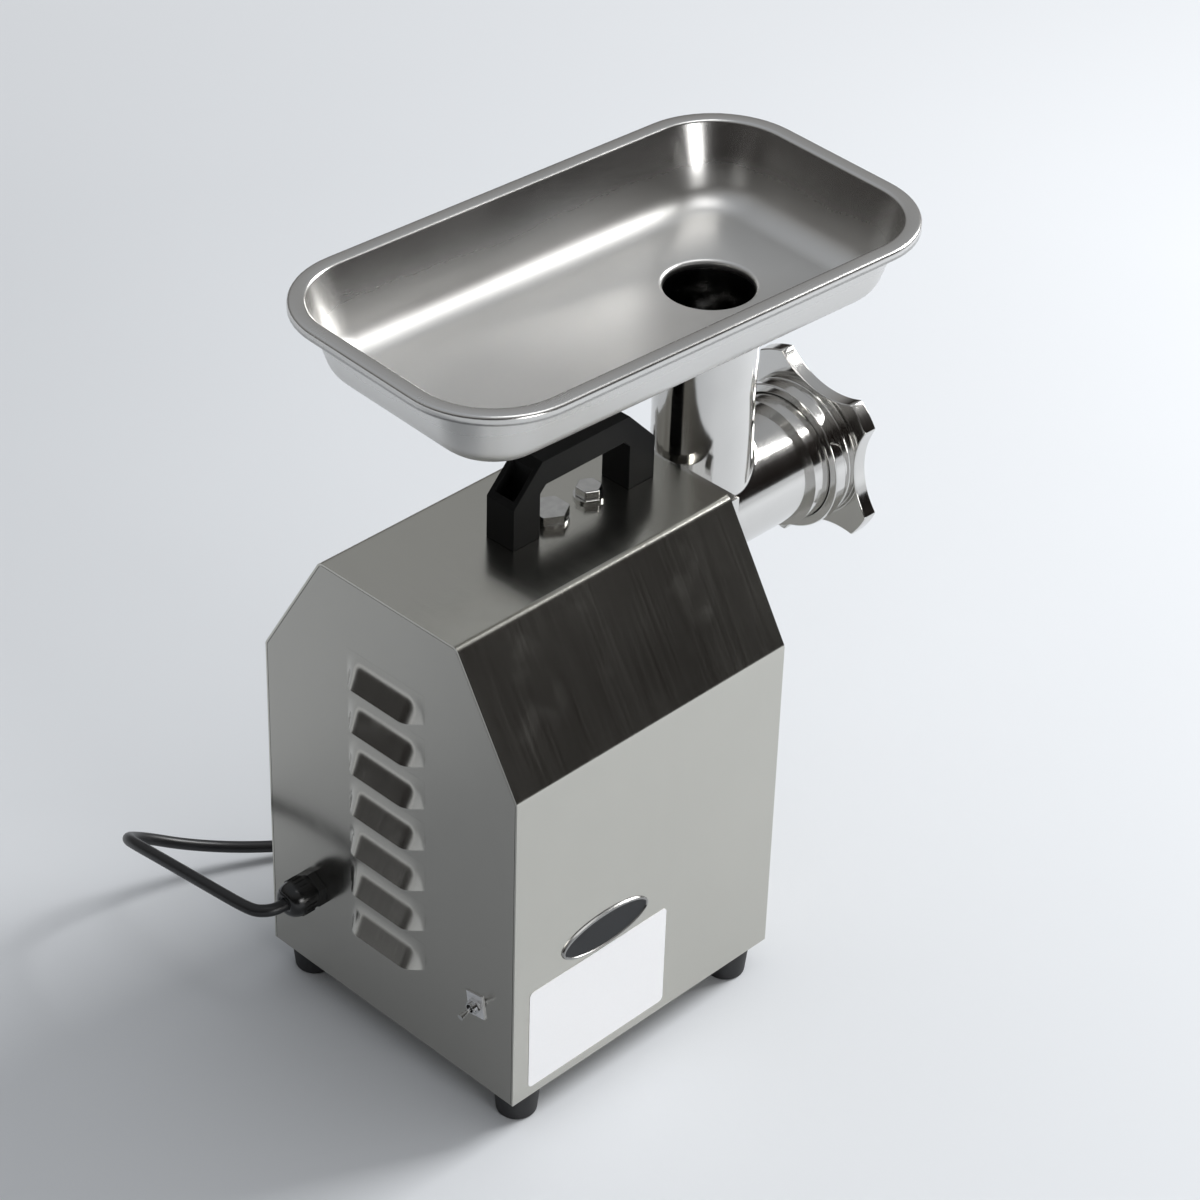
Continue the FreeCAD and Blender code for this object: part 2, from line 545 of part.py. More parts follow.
for i, (x, z) in enumerate(head_bolts):
    shank_l = s.flange_t + s.panel_t + s.head_bolt_reach
    bolts.append(join(f"head_bolt_{i}", [
        hexagon(f"head_bolt_head_{i}", s.head_bolt_af, s.head_bolt_head_h, x, front_y - s.flange_t, z,
                ROD_FRONT),
        rod(f"head_bolt_shank_{i}", s.head_bolt_r, shank_l, x, front_y - s.flange_t, z, ROD_BACK),
    ]))
node("head_bolts", group("head_bolt_set", bolts))

# auger: core with a helical flight, a tang behind and a square and a pin in front
core_back = s.barrel_floor + s.clear_gap
knife_back = s.seat_back + s.clear_gap
plate_back = knife_back + s.knife_t + s.clear_gap
core_l = s.seat_back - core_back
square_l = s.knife_t + s.clear_gap
core = turned("auger_core", [(0, core_back), (s.auger_core_r, core_back), (s.auger_core_r, s.seat_back),
                             (0, s.seat_back)],
              0, front_y, axis_z)
tang = block("auger_tang", s.tang_w, s.tang_l + s.clear_gap, s.tang_h, -s.tang_w / 2,
             front_y - core_back, axis_z - s.tang_h / 2)
square = block("auger_square", s.square_w, square_l, s.square_w, -s.square_w / 2,
               front_y - s.seat_back - square_l,
               axis_z - s.square_w / 2)
pin = rod("auger_pin", s.pin_r, square_l + s.plate_t, 0, front_y - s.seat_back, axis_z, ROD_FRONT)
flight_l = float(core_l - s.flight_t)
helix = Part.makeHelix(float(s.flight_pitch), flight_l, float(s.auger_core_r))
low_r, high_r = float(s.auger_core_r - s.flight_root), float(s.flight_r)
thick, tip = float(s.flight_t), float(s.flight_t * s.flight_tip_share)
section = Part.makePolygon([Vector(low_r, 0, 0), Vector(high_r, 0, tip), Vector(high_r, 0, thick - tip),
                            Vector(low_r, 0, thick), Vector(low_r, 0, 0)])
flight = solid_feature("auger_flight", Part.Wire(helix).makePipeShell([section], True, True))
place(flight, 0, front_y - core_back, axis_z, ROD_FRONT)
node("auger", join("auger_join", [core, tang, square, pin, flight]))

# knife: four blades about a hub with a square hole
blade_y = front_y - knife_back - s.knife_t
blades = [block("blade_across", s.knife_r * 2, s.knife_t, s.knife_w, -s.knife_r, blade_y,
                axis_z - s.knife_w / 2),
          block("blade_upright", s.knife_w, s.knife_t, s.knife_r * 2, -s.knife_w / 2, blade_y,
                axis_z - s.knife_r),
          rod("knife_hub", s.knife_hub_r, s.knife_t, 0, front_y - knife_back, axis_z, ROD_FRONT)]
hole_w = s.square_w + s.hole_gap * 2
knife_hole = block("knife_hole", hole_w, s.knife_t * 3, hole_w, -hole_w / 2, blade_y - s.knife_t,
                   axis_z - hole_w / 2)
node("knife", cut("knife_cut", join("knife_join", blades), [knife_hole]))

# grinding plate: rings of holes, a centre bore for the auger's pin and a notch for the key
plate_disc = ring("plate_disc", s.pin_r + s.fit_gap, s.plate_r, plate_back, plate_back + s.plate_t, 0,
                  front_y, axis_z, AXIS_FRONT)
holes = []
for k in range(int(float(s.plate_rings))):
    count = 6 * (k + 1)
    radius = s.plate_first_r + s.plate_ring_step * k
    for i in range(count):
        angle = 2 * math.pi * (i + 0.5) / count
        holes.append(rod(f"plate_hole_{k}_{i}", s.plate_hole_r, s.plate_t * 2, radius * math.cos(angle),
                         front_y - plate_back + s.plate_t / 2, axis_z + radius * math.sin(angle),
                         ROD_FRONT))
holes.append(rod("plate_notch", s.key_r + s.hole_gap, s.key_l, 0, front_y - key_at, key_z - s.hole_gap))
node("grinding_plate", cut("plate_cut_holes", plate_disc, holes))

# ring nut: skirt over the barrel's collar, scalloped lugs and the outlet lip
lip_back = plate_back + s.plate_t + s.nut_gap
nut_front = s.nut_back + s.nut_l
lug_front = s.nut_lug_back + s.nut_lug_l
rim_front = s.nut_back + s.nut_rim_l
nut_skirt = turned("nut_skirt", [
    (s.collar_r + s.nut_gap, s.nut_back), (s.nut_rim_r, s.nut_back), (s.nut_rim_r, rim_front),
                                 (s.nut_body_r, rim_front),
    (s.nut_body_r, lug_front), (s.nut_front_r, nut_front), (s.nut_lip_r, nut_front),
                                 (s.nut_lip_r, lip_back),
    (s.collar_r + s.nut_gap, lip_back)], 0, front_y, axis_z)
lug_disc = ring("nut_lug_disc", s.nut_lip_r + s.nut_gap, s.nut_lug_r, s.nut_lug_back, lug_front, 0, front_y,
                axis_z, AXIS_FRONT)
scallops = []
lugs = int(float(s.nut_lugs))
for i in range(lugs):
    angle = math.radians(float(s.nut_turn) + 360 / lugs * (i + 0.5))
    reach = s.nut_waist_r + s.nut_scallop_r
    scallops.append(rod(f"scallop_{i}", s.nut_scallop_r, s.nut_lug_l * 2, reach * math.cos(angle),
                        front_y - s.nut_lug_back + s.nut_lug_l / 2, axis_z + reach * math.sin(angle),
                        ROD_FRONT))
node("ring_nut", join("nut_join", [nut_skirt, cut("nut_lug_cut", lug_disc, scallops)]))


# feed tray: a pressed bowl with a flat turned-down rim and a spout that drops into the throat
def tray_wire(inset, height):
    """Rounded rectangle of the rim, moved in by an inset, at a height over the tray's floor."""
    half_w = float(s.tray_w) / 2 - inset
    half_l = float(s.tray_l) / 2 - inset
    radius = float(s.tray_corner_r) - inset
    mid_x, mid_y, diagonal = half_w - radius, half_l - radius, radius * math.sqrt(0.5)
    edges = []
    for side_x, side_y, swap in ((1, 1, False), (-1, 1, True), (-1, -1, False), (1, -1, True)):
        across = Vector(side_x * half_w, side_y * mid_y, height)
        along = Vector(side_x * mid_x, side_y * half_l, height)
        middle = Vector(side_x * (mid_x + diagonal), side_y * (mid_y + diagonal), height)
        start, end = (along, across) if swap else (across, along)
        edges.append((start, middle, end))
    wire = []
    for (start, middle, end), (after, _, _) in zip(edges, edges[1:] + edges[:1]):
        wire.append(Part.Arc(start, middle, end).toShape())
        wire.append(Part.LineSegment(end, after).toShape())
    return Part.Wire(wire)


def tray_ring(inset_out, inset_in, low, high):
    lift = Vector(0, 0, high - low)
    solids = [Part.Face(tray_wire(inset, low)).extrude(lift) for inset in (inset_out, inset_in)]
    return solids[0].cut(solids[1])


def tray_bowl(grow):
    """The bowl's inner form, grown outwards by a thickness: floor, rounded foot and leaning wall."""
    depth, lean, rim = float(s.tray_depth), float(s.tray_lean), float(s.tray_rim)
    wall = math.atan2(depth, lean)
    radius = float(s.tray_floor_r) + grow
    foot = float(s.tray_floor_r) / math.tan((math.pi - wall) / 2)
    centre_inset = rim + lean + foot
    levels = []
    steps = 4
    for i in range(steps + 1):
        turn = wall * i / steps
        levels.append((centre_inset - radius * math.sin(turn),
                       float(s.tray_floor_r) - radius * math.cos(turn)))
    levels.append((rim - grow / math.sin(wall), depth))
    return Part.makeLoft([tray_wire(inset, height) for inset, height in levels], True, True)


tray_t, tray_depth = float(s.tray_t), float(s.tray_depth)
spout_low = -float(s.spout_l)
spout_bore_r = float(s.spout_r - s.tray_t)
tray_centre = Vector(0, float(s.tray_back), 0)
bowl = tray_bowl(tray_t).cut(tray_bowl(0))
rim_flat = tray_ring(0, float(s.tray_rim), tray_depth - tray_t, tray_depth)
rim_lip = tray_ring(0, tray_t, tray_depth - float(s.tray_lip), tray_depth)
pan = bowl.fuse([rim_flat, rim_lip])
pan.translate(tray_centre)
spout = Part.makeCylinder(float(s.spout_r), -spout_low, Vector(0, 0, spout_low))
spout_bore = Part.makeCylinder(spout_bore_r, tray_depth - spout_low, Vector(0, 0, spout_low))
tray = solid_feature("tray_form", pan.fuse(spout).cut(spout_bore).removeSplitter())
tray_floor_z = throat_top + s.tray_gap + s.tray_t
node("feed_tray", place(tray, 0, throat_y, tray_floor_z, Rotation(Vector(0, 0, 1), -float(s.tray_turn))))


# gears of two stages
def gear_shape(module, teeth, bore_r, length, first_angle):
    """A spur gear about +Z with involute flanks; a tooth stands at the first angle."""
    pitch_r = module * teeth / 2
    base_r = pitch_r * math.cos(math.radians(float(s.pressure_angle)))
    tip_r, root_r = pitch_r + float(s.tip_share) * module, pitch_r - float(s.root_share) * module
    half = (math.pi * module / 2 - float(s.backlash) / 2) / 2 / pitch_r

    def roll(radius):
        angle = math.acos(min(1.0, base_r / radius))
        return math.tan(angle) - angle

    flank_r = [max(base_r, root_r) + (tip_r - max(base_r, root_r)) * share for share in (0, 0.35, 0.7, 1)]
    flank = [(radius, half + roll(pitch_r) - roll(radius)) for radius in flank_r]
    side = [(root_r, flank[0][1])] + flank if base_r > root_r else flank
    points = []
    for tooth in range(teeth):
        middle = first_angle + 2 * math.pi * tooth / teeth
        for radius, angle in [(r, -a) for r, a in side] + side[::-1]:
            points.append(Vector(radius * math.cos(middle + angle), radius * math.sin(middle + angle), 0))
    blank = Part.Face(Part.makePolygon(points + points[:1])).extrude(Vector(0, 0, length))
    return blank.cut(Part.makeCylinder(bore_r, length)).Solids[0]


def gear(name, module, teeth, bore_r, at, length, z, tooth_up):
    """A gear on a shaft along Y; a driver has a tooth straight up, a driven gear a gap straight down."""
    count = int(float(teeth))
    first = math.pi / 2 if tooth_up else -math.pi / 2 + math.pi / count
    shape = gear_shape(float(module), count, float(bore_r + s.fit_gap), float(length), first)
    obj = solid_feature(name + "_form", shape)
    return node(name, place(obj, 0, front_y + at + length, z, ROD_FRONT))


lay_z = axis_z - s.out_module * (s.out_teeth + s.out_pinion_teeth) / 2
motor_z = lay_z - s.lay_module * (s.lay_teeth + s.motor_pinion_teeth) / 2
gear("output_gear", s.out_module, s.out_teeth, s.out_shaft_r, s.out_gear_at, s.out_gear_l, axis_z, False)
gear("lay_pinion", s.out_module, s.out_pinion_teeth, s.lay_shaft_r, s.out_gear_at - s.mesh_over,
     s.out_gear_l + s.mesh_over * 2, lay_z, True)
gear("lay_gear", s.lay_module, s.lay_teeth, s.lay_shaft_r, s.lay_gear_at, s.lay_gear_l, lay_z, False)
gear("motor_pinion", s.lay_module, s.motor_pinion_teeth, s.motor_stub_r, s.lay_gear_at - s.mesh_over,
     s.lay_gear_l + s.mesh_over * 2, motor_z, True)

# gearbox case and cover, with seats for the bearings
cover_back = s.panel_t + s.case_front
case_back = cover_back + s.case_l
cavity_l = s.case_l - s.case_back_wall
case_bottom = axis_z - s.case_bottom_drop
case_h = case_top - case_bottom
cavity_w = s.case_half_w - s.case_wall
gear_top = axis_z + s.out_module * (s.out_teeth / 2 + 1) + s.gear_top_gap
case_block = block("case_block", s.case_half_w * 2, s.case_l, case_h, -s.case_half_w, front_y + cover_back,
                   case_bottom)
cavity = block("case_cavity", cavity_w * 2, cavity_l, gear_top - case_bottom - s.case_wall, -cavity_w,
               front_y + cover_back,
               case_bottom + s.case_wall)
seat_l = s.bearing_l + s.shaft_end_gap
seat_y = front_y + cover_back + cavity_l
case_tools = [
    cavity,
    rod("out_seat", s.out_bearing_r + s.fit_gap, seat_l, 0, seat_y, axis_z, ROD_BACK),
    rod("lay_seat", s.lay_bearing_r + s.fit_gap, seat_l, 0, seat_y, lay_z, ROD_BACK),
    rod("motor_way", s.motor_stub_r + s.clear_gap, s.case_back_wall * 2, 0, seat_y - s.fit_gap, motor_z,
        ROD_BACK),
    rod("case_bolt_hole", s.bolt_r + s.hole_gap, s.bolt_reach * 2, 0, bolt_y, case_top - s.bolt_reach),
    rod("case_plug_hole", s.plug_r + s.hole_gap, s.bolt_reach * 2, 0, plug_y, case_top - s.bolt_reach),
]
cover_screw_x = s.case_half_w - s.case_wall / 2
cover_screws = [(side * cover_screw_x, z) for side in (-1, 1) for z in (axis_z, motor_z)]
for i, (x, z) in enumerate(cover_screws):
    case_tools.append(rod(f"case_screw_hole_{i}", s.cover_screw_r + s.hole_gap, s.cover_screw_l * 2, x,
                          front_y + s.panel_t - s.fit_gap, z, ROD_BACK))
node("gearbox_case", cut("case_cut", case_block, case_tools))
cover_top = axis_z + s.flange_h / 2 - s.seam
cover_block = block("cover_block", s.cover_half_w * 2, s.case_front, cover_top - case_bottom,
                    -s.cover_half_w,
                    front_y + s.panel_t, case_bottom)
cover_seat_y = front_y + cover_back - s.bearing_l
cover_tools = [
    rod("cover_shaft_hole", s.out_shaft_r + s.clear_gap, s.case_front * 2, 0, front_y, axis_z, ROD_BACK),
    rod("cover_out_seat", s.out_bearing_r + s.fit_gap, s.bearing_l * 2, 0, cover_seat_y, axis_z, ROD_BACK),
    rod("cover_lay_seat", s.lay_bearing_r + s.fit_gap, s.bearing_l * 2, 0, cover_seat_y - s.shaft_end_gap,
        lay_z, ROD_BACK),
]
for i, (x, z) in enumerate(head_bolts):
    cover_tools.append(rod(f"cover_bolt_hole_{i}", s.head_bolt_r + s.hole_gap, s.case_front * 3, x,
                           front_y - s.case_front, z, ROD_BACK))
screw_solids = []
for i, (x, z) in enumerate(cover_screws):
    cover_tools.append(rod(f"cover_screw_hole_{i}", s.cover_screw_r + s.hole_gap, s.case_front * 2, x,
                           front_y, z, ROD_BACK))
    cover_tools.append(rod(f"cover_screw_well_{i}", s.cover_screw_head_r + s.hole_gap,
                           s.cover_screw_head_h + s.panel_t, x,
                           front_y, z, ROD_BACK))
    head_y = s.panel_t
    screw = [(0, head_y), (s.cover_screw_head_r, head_y),
             (s.cover_screw_head_r, head_y + s.cover_screw_head_h),
             (s.cover_screw_r, head_y + s.cover_screw_head_h), (s.cover_screw_r, head_y + s.cover_screw_l),
             (0, head_y + s.cover_screw_l)]
    screw_solids.append(turned(f"cover_screw_{i}", screw, x, front_y, z, AXIS_BACK))
node("gearbox_cover", cut("cover_cut", cover_block, cover_tools))
node("cover_screws", group("cover_screw_set", screw_solids))

# shafts and bearings
bearing_back = cover_back + cavity_l
shaft_back = bearing_back + s.bearing_l
out_shaft = rod("out_shaft_bar", s.out_shaft_r, s.barrel_floor + shaft_back, 0, front_y - s.barrel_floor,
                axis_z, ROD_BACK)
slot_w = s.tang_w + s.clear_gap
slot = block("out_shaft_slot", slot_w, s.tang_l + s.clear_gap, s.out_shaft_r * 3, -slot_w / 2,
             front_y - s.barrel_floor,
             axis_z - s.out_shaft_r * 1.5)
node("output_shaft", cut("out_shaft_cut", out_shaft, [slot]))
lay_front = cover_back - s.bearing_l
node("lay_shaft", rod("lay_shaft_bar", s.lay_shaft_r, shaft_back - lay_front, 0, front_y + lay_front, lay_z,
                      ROD_BACK))


def bearing_pair(name, shaft_r, outer_r, starts, z):
    rings = [ring(f"{name}_{i}", shaft_r + s.fit_gap, outer_r, start, start + s.bearing_l, 0, front_y, z)
             for i, start in enumerate(starts)]
    return node(name, group(name + "_set", rings))


bearing_pair("output_bearings", s.out_shaft_r, s.out_bearing_r, [lay_front, bearing_back], axis_z)
bearing_pair("lay_bearings", s.lay_shaft_r, s.lay_bearing_r, [lay_front, bearing_back], lay_z)

# motor behind the gearbox: shell between two end bells, wound stator, rotor on its shaft, fan at the back
motor_front = case_back
shell_front = motor_front + s.bell_l
motor_back = s.house_l - s.motor_end_gap
shell_back = motor_back - s.bell_l
shell_bore = s.motor_r - s.motor_shell_t
bearing_r = s.motor_bearing_r + s.fit_gap
shaft_way = s.motor_shaft_r + s.clear_gap
node("motor_front_bell", turned("front_bell_form", [
    (shaft_way, motor_front), (s.motor_r, motor_front), (s.motor_r, shell_front), (bearing_r, shell_front),
    (bearing_r, shell_front - s.bearing_l), (shaft_way, shell_front - s.bearing_l)], 0, front_y, motor_z,
                                AXIS_BACK))
node("motor_rear_bell", turned("rear_bell_form", [
    (bearing_r, shell_back), (s.motor_r, shell_back), (s.motor_r, motor_back), (shaft_way, motor_back),
    (shaft_way, shell_back + s.bearing_l), (bearing_r, shell_back + s.bearing_l)], 0, front_y, motor_z,
                               AXIS_BACK))
node("motor_shell", ring("shell_form", shell_bore, s.motor_r, shell_front, shell_back, 0, front_y, motor_z))
bearing_pair("motor_bearings", s.motor_shaft_r, s.motor_bearing_r, [shell_front - s.bearing_l, shell_back],
             motor_z)
stator_front, stator_back = shell_front + s.stator_gap, shell_back - s.stator_gap
node("motor_stator", ring("stator_form", s.stator_bore_r, shell_bore - s.fit_gap, stator_front, stator_back,
                          0, front_y, motor_z))
node("motor_windings", group("winding_set", [
    ring("winding_front", s.winding_in_r, s.winding_out_r, stator_front - s.winding_l, stator_front, 0,
         front_y, motor_z),
    ring("winding_back", s.winding_in_r, s.winding_out_r, stator_back, stator_back + s.winding_l, 0,
         front_y, motor_z),
]))
rotor_front, rotor_back = stator_front - s.rotor_over, stator_back + s.rotor_over
node("rotor_core", ring("rotor_form", s.motor_shaft_r + s.fit_gap, s.stator_bore_r - s.air_gap, rotor_front,
                        rotor_back, 0, front_y, motor_z))
pinion_front = s.lay_gear_at - s.mesh_over
stub_back = motor_front + s.shaft_end_gap
fan_front = motor_back + s.fan_gap
fan_back = fan_front + s.fan_l
node("motor_shaft", turned("motor_shaft_form", [
    (0, pinion_front), (s.motor_stub_r, pinion_front), (s.motor_stub_r, stub_back),
                                                (s.motor_shaft_r, stub_back),
    (s.motor_shaft_r, fan_back), (0, fan_back)], 0, front_y, motor_z, AXIS_BACK))
fan_hub = ring("fan_hub", s.motor_shaft_r + s.fit_gap, s.fan_hub_r, fan_front, fan_back, 0, front_y,
               motor_z)
fan_parts = [fan_hub]
blades = int(float(s.fan_blades))
for i in range(blades):
    start = s.fan_hub_r - s.fan_blade_t
    blade = block(f"fan_blade_{i}", s.fan_r - start, s.fan_l, s.fan_blade_t)
    turn = Rotation(Vector(0, 1, 0), 360 / blades * i)
    shift = turn.multVec(Vector(1, 0, 0))
    fan_parts.append(place(blade, start * shift.x, front_y + fan_front, motor_z + start * shift.z, turn))
node("motor_fan", join("fan_join", fan_parts))

# cradle under the motor, standing on the base plate
cradle_low = base_z + s.base_t
cradle_h = motor_z - s.cradle_drop - cradle_low
cradle_y = [front_y + shell_front + s.cradle_inset, front_y + shell_back - s.cradle_inset - s.cradle_t]
cradle_parts = [block(f"cradle_wall_{i}", s.cradle_half_w * 2, s.cradle_t, cradle_h, -s.cradle_half_w, y,
                      cradle_low)
                for i, y in enumerate(cradle_y)]
cradle_parts.append(block("cradle_foot", s.cradle_half_w * 2, cradle_y[1] - cradle_y[0], s.cradle_foot_t,
                          -s.cradle_half_w,
                          cradle_y[0], cradle_low))
cradle_round = rod("cradle_round", s.motor_r + s.fit_gap, motor_back - motor_front, 0,
                   front_y + motor_front, motor_z, ROD_BACK)
node("motor_cradle", cut("cradle_cut", join("cradle_join", cradle_parts), [cradle_round]))


# power cord: a tube of straight runs and tangent arcs, then a coil of the length that is put away
def fillet_path(points):
    """Edges of a route whose corners are rounded as far as the runs beside them allow."""
    points = [Vector(*p) for p in points]
    edges, radii, last = [], [], points[0]
    for before, corner, after in zip(points, points[1:], points[2:]):
        way_in, way_out = corner - before, after - corner
        trim = 0.45 * min(way_in.Length, way_out.Length)
        turn = way_in.getAngle(way_out)
        radii.append(trim / math.tan(turn / 2))
        way_in.normalize()
        way_out.normalize()
        start, end = corner - way_in * trim, corner + way_out * trim
        to_centre = (way_out - way_in).normalize()
        centre = corner + to_centre * (radii[-1] / math.cos(turn / 2))
        edges.append(Part.LineSegment(last, start).toShape())
        edges.append(Part.Arc(start, centre - to_centre * radii[-1], end).toShape())
        last = end
    edges.append(Part.LineSegment(last, points[-1]).toShape())
    return edges, radii


def tube(edges, radius):
    path = Part.Wire(edges)
    start = edges[0].valueAt(edges[0].FirstParameter)
    way = edges[0].tangentAt(edges[0].FirstParameter)
    section = Part.Wire(Part.makeCircle(radius, start, way))
    solid = Part.makeSolid(path.makePipeShell([section], True, False))
    return solid, path.Length


def arc_from(start, way, end):
    """An arc that leaves the start along a direction and reaches the end."""
    chord = end - start
    half = chord.Length / 2
    chord.normalize()
    lean = way.getAngle(chord)
    side = way - chord * way.dot(chord)
    side.normalize()
    return Part.Arc(start, (start + end) * 0.5 + side * (half * math.tan(lean / 2)), end).toShape()


def biarc(start, way_in, end, way_out):
    """Two arcs that join two points along their directions."""
    span = end - start
    both = way_in + way_out
    a, b, c = 2 * (way_in.dot(way_out) - 1), -2 * span.dot(both), span.dot(span)
    reach = (-b - math.sqrt(b * b - 4 * a * c)) / (2 * a)
    joint = (start + way_in * reach + end - way_out * reach) * 0.5
    first = arc_from(start, way_in, joint)
    return [first, arc_from(joint, first.tangentAt(first.LastParameter), end)]


cord_r = float(s.cord_r)
coil_layer_z = cord_r + float(s.coil_lift)
coil_turns, coil_climb, coil_step = float(s.coil_turns), float(s.coil_climb), float(s.coil_step)
coil_total = 2 * coil_turns + coil_climb


def coil_point(turn):
    """A point of the coil: inwards in the lower layer, up a layer in half a turn, then outwards."""
    inner_r = float(s.coil_r) - coil_step * coil_turns
    climb = min(max((turn - coil_turns) / coil_climb, 0), 1)
    wound = max(coil_turns - turn, turn - coil_turns - coil_climb, 0)
    radius = inner_r + coil_step * wound - float(s.coil_tuck) * math.sin(math.pi * climb)
    height = coil_layer_z + coil_step * (1 - math.cos(math.pi * climb)) / 2
    angle = math.pi + 2 * math.pi * turn
    return Vector(float(s.coil_x) + radius * math.cos(angle), float(s.coil_y) + radius * math.sin(angle),
                  height)


def coil_way(turn):
    step = 0.02
    return (coil_point(turn + step) - coil_point(turn - step)).normalize()


straight = Vector(0, -2 * cord_r, 0)
coil_edges = []
stops = [coil_total * i / (4 * round(coil_total)) for i in range(4 * round(coil_total) + 1)]
ways = [coil_way(turn) for turn in stops]
ways[0] = ways[-1] = Vector(0, -1, 0)
coil_start, coil_end = coil_point(0), coil_point(coil_total)
coil_edges.append(Part.LineSegment(coil_start - straight, coil_start).toShape())
for turn, after, way, way_after in zip(stops, stops[1:], ways, ways[1:]):
    coil_edges += biarc(coil_point(turn), way, coil_point(after), way_after)
tail = Vector(0, -float(s.coil_tail), 0)
coil_edges.append(Part.LineSegment(coil_end, coil_end + tail).toShape())
coil_solid, coil_length = tube(coil_edges, cord_r)
node("cord_coil", solid_feature("coil_form", coil_solid))

cord_start = Vector(float(s.gland_x), float(rear_y + s.gland_out), float(gland_z))
cord_points = [tuple(cord_start)] + CORD_ROUTE[1:-1] + [tuple(coil_start - straight)]
cord_edges, cord_radii = fillet_path(cord_points)
cord_solid, cord_length = tube(cord_edges, cord_r)
node("power_cord", solid_feature("cord_form", cord_solid))

# tie round the coil's bundle on the far side from where the cord comes in
tie_in = s.coil_r - s.coil_step * s.coil_turns - s.coil_tuck - s.cord_r - s.tie_gap
tie_out = s.coil_r + s.cord_r + s.tie_gap
tie_low = s.coil_lift - s.tie_gap
tie_high = s.coil_lift + s.cord_r * 2 + s.coil_step + s.tie_gap
tie_y = s.coil_y - s.tie_w / 2
tie_outer = block("tie_outer", tie_out - tie_in + s.tie_t * 2, s.tie_w, tie_high - tie_low + s.tie_t * 2,
                  s.coil_x + tie_in - s.tie_t, tie_y, tie_low - s.tie_t)
tie_inner = block("tie_inner", tie_out - tie_in, s.tie_w * 2, tie_high - tie_low, s.coil_x + tie_in,
                  tie_y - s.tie_w / 2, tie_low)
node("cord_tie", cut("tie_cut", tie_outer, [tie_inner]))

# plug on the cord's end
mains_y = s.coil_y - s.coil_tail
mains_x = s.coil_x - s.coil_r
mains_z = s.cord_r + s.coil_lift + s.coil_step
node("plug_body", turned("plug_form", [
    (0, 0), (s.mains_neck_r, 0), (s.mains_plug_r, s.mains_plug_nose_l), (s.mains_plug_r, s.mains_plug_l),
                                       (0, s.mains_plug_l)],
    mains_x, mains_y, mains_z, AXIS_FRONT))
mains_pins = [rod(f"mains_pin_{side}", s.mains_pin_r, s.mains_pin_l, mains_x + s.mains_pin_gap / 2 * side,
                  mains_y - s.mains_plug_l, mains_z, ROD_FRONT) for side in (-1, 1)]
node("plug_pins", group("pin_set", mains_pins))


def least_gap(edges):
    """Least gap between the turns of a tube, measured on points along its middle line."""
    points = [edge.valueAt(edge.FirstParameter + (edge.LastParameter - edge.FirstParameter) * i / 12)
              for edge in edges for i in range(12)]
    skip = 24
    near = min((p - q).Length for i, p in enumerate(points) for q in points[i + skip:])
    return near - 2 * cord_r


doc.recompute()
for obj in doc.Objects:
    if "Invalid" in obj.State or "Error" in obj.State:
        raise RuntimeError(f"{obj.Label} failed: {obj.State}")
for name, obj in nodes.items():
    if obj.Shape.isNull() or not obj.Shape.isValid():
        raise RuntimeError(f"{name} has no valid shape")
section_area = math.pi * cord_r ** 2
print("cord radii", [round(radius, 1) for radius in cord_radii])
print("cord volume share", round(cord_solid.Volume / section_area / cord_length, 4), "length",
      round(cord_length))
print("coil volume share", round(coil_solid.Volume / section_area / coil_length, 4), "length",
      round(coil_length))
print("coil least gap", round(least_gap(coil_edges), 2))

os.makedirs("parts", exist_ok=True)
for name, obj in nodes.items():
    obj.Shape.exportStep(f"parts/{name}.step")
print(len(nodes), "nodes")
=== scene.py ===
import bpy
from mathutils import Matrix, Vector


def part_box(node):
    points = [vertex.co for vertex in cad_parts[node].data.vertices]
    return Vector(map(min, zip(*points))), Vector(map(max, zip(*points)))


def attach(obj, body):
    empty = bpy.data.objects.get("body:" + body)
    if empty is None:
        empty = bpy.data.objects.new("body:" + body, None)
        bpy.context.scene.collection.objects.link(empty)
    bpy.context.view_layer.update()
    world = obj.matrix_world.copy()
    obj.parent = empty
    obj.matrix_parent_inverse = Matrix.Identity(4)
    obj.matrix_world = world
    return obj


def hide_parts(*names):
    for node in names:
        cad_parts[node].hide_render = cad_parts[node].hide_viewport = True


bl_info = {
    "name": "Meat grinder dress",
    "version": (1, 0, 0),
    "blender": (4, 5, 0),
    "location": "View3D > Sidebar > Grinder",
    "description": "Dresses the packed meat grinder with finishes, pressed sheet details, cord and stage",
    "category": "Object",
}

import math

import bmesh
import bpy
from bpy.props import FloatProperty, FloatVectorProperty, IntProperty, PointerProperty
from mathutils import Matrix, Vector

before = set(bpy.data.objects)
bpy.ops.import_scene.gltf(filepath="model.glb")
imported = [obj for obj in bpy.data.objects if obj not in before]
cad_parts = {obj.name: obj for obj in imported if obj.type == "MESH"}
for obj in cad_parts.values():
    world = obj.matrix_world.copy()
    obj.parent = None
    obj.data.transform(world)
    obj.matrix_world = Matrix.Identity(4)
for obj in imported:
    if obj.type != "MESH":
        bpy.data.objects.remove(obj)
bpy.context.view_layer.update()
MM = 0.001
QUARTER_TURN = Matrix.Rotation(math.radians(90), 3, "X")

# the cord's free stretch, from the gland to its coil, in millimetres
CORD_ROUTE = [
    (60, 171.3, 77), (60, 177, 77), (63.8, 183.4, 76.9), (70.2, 187.2, 76.5), (97, 188.4, 74.4),
    (124, 188, 70.6), (149, 186.6, 65.8), (173, 184.8, 60.4), (184.2, 180.1, 54.2), (191.9, 171.5, 45.6),
    (194, 158.5, 36.4), (189, 138, 23.6), (179, 112, 12.6), (164.5, 86, 7.2), (150.5, 61, 5.6),
    (138.5, 37, 5.2), (129.5, 13, 5.15), (124.8, -10.5, 5.1), (124, -33, 5.1),
]
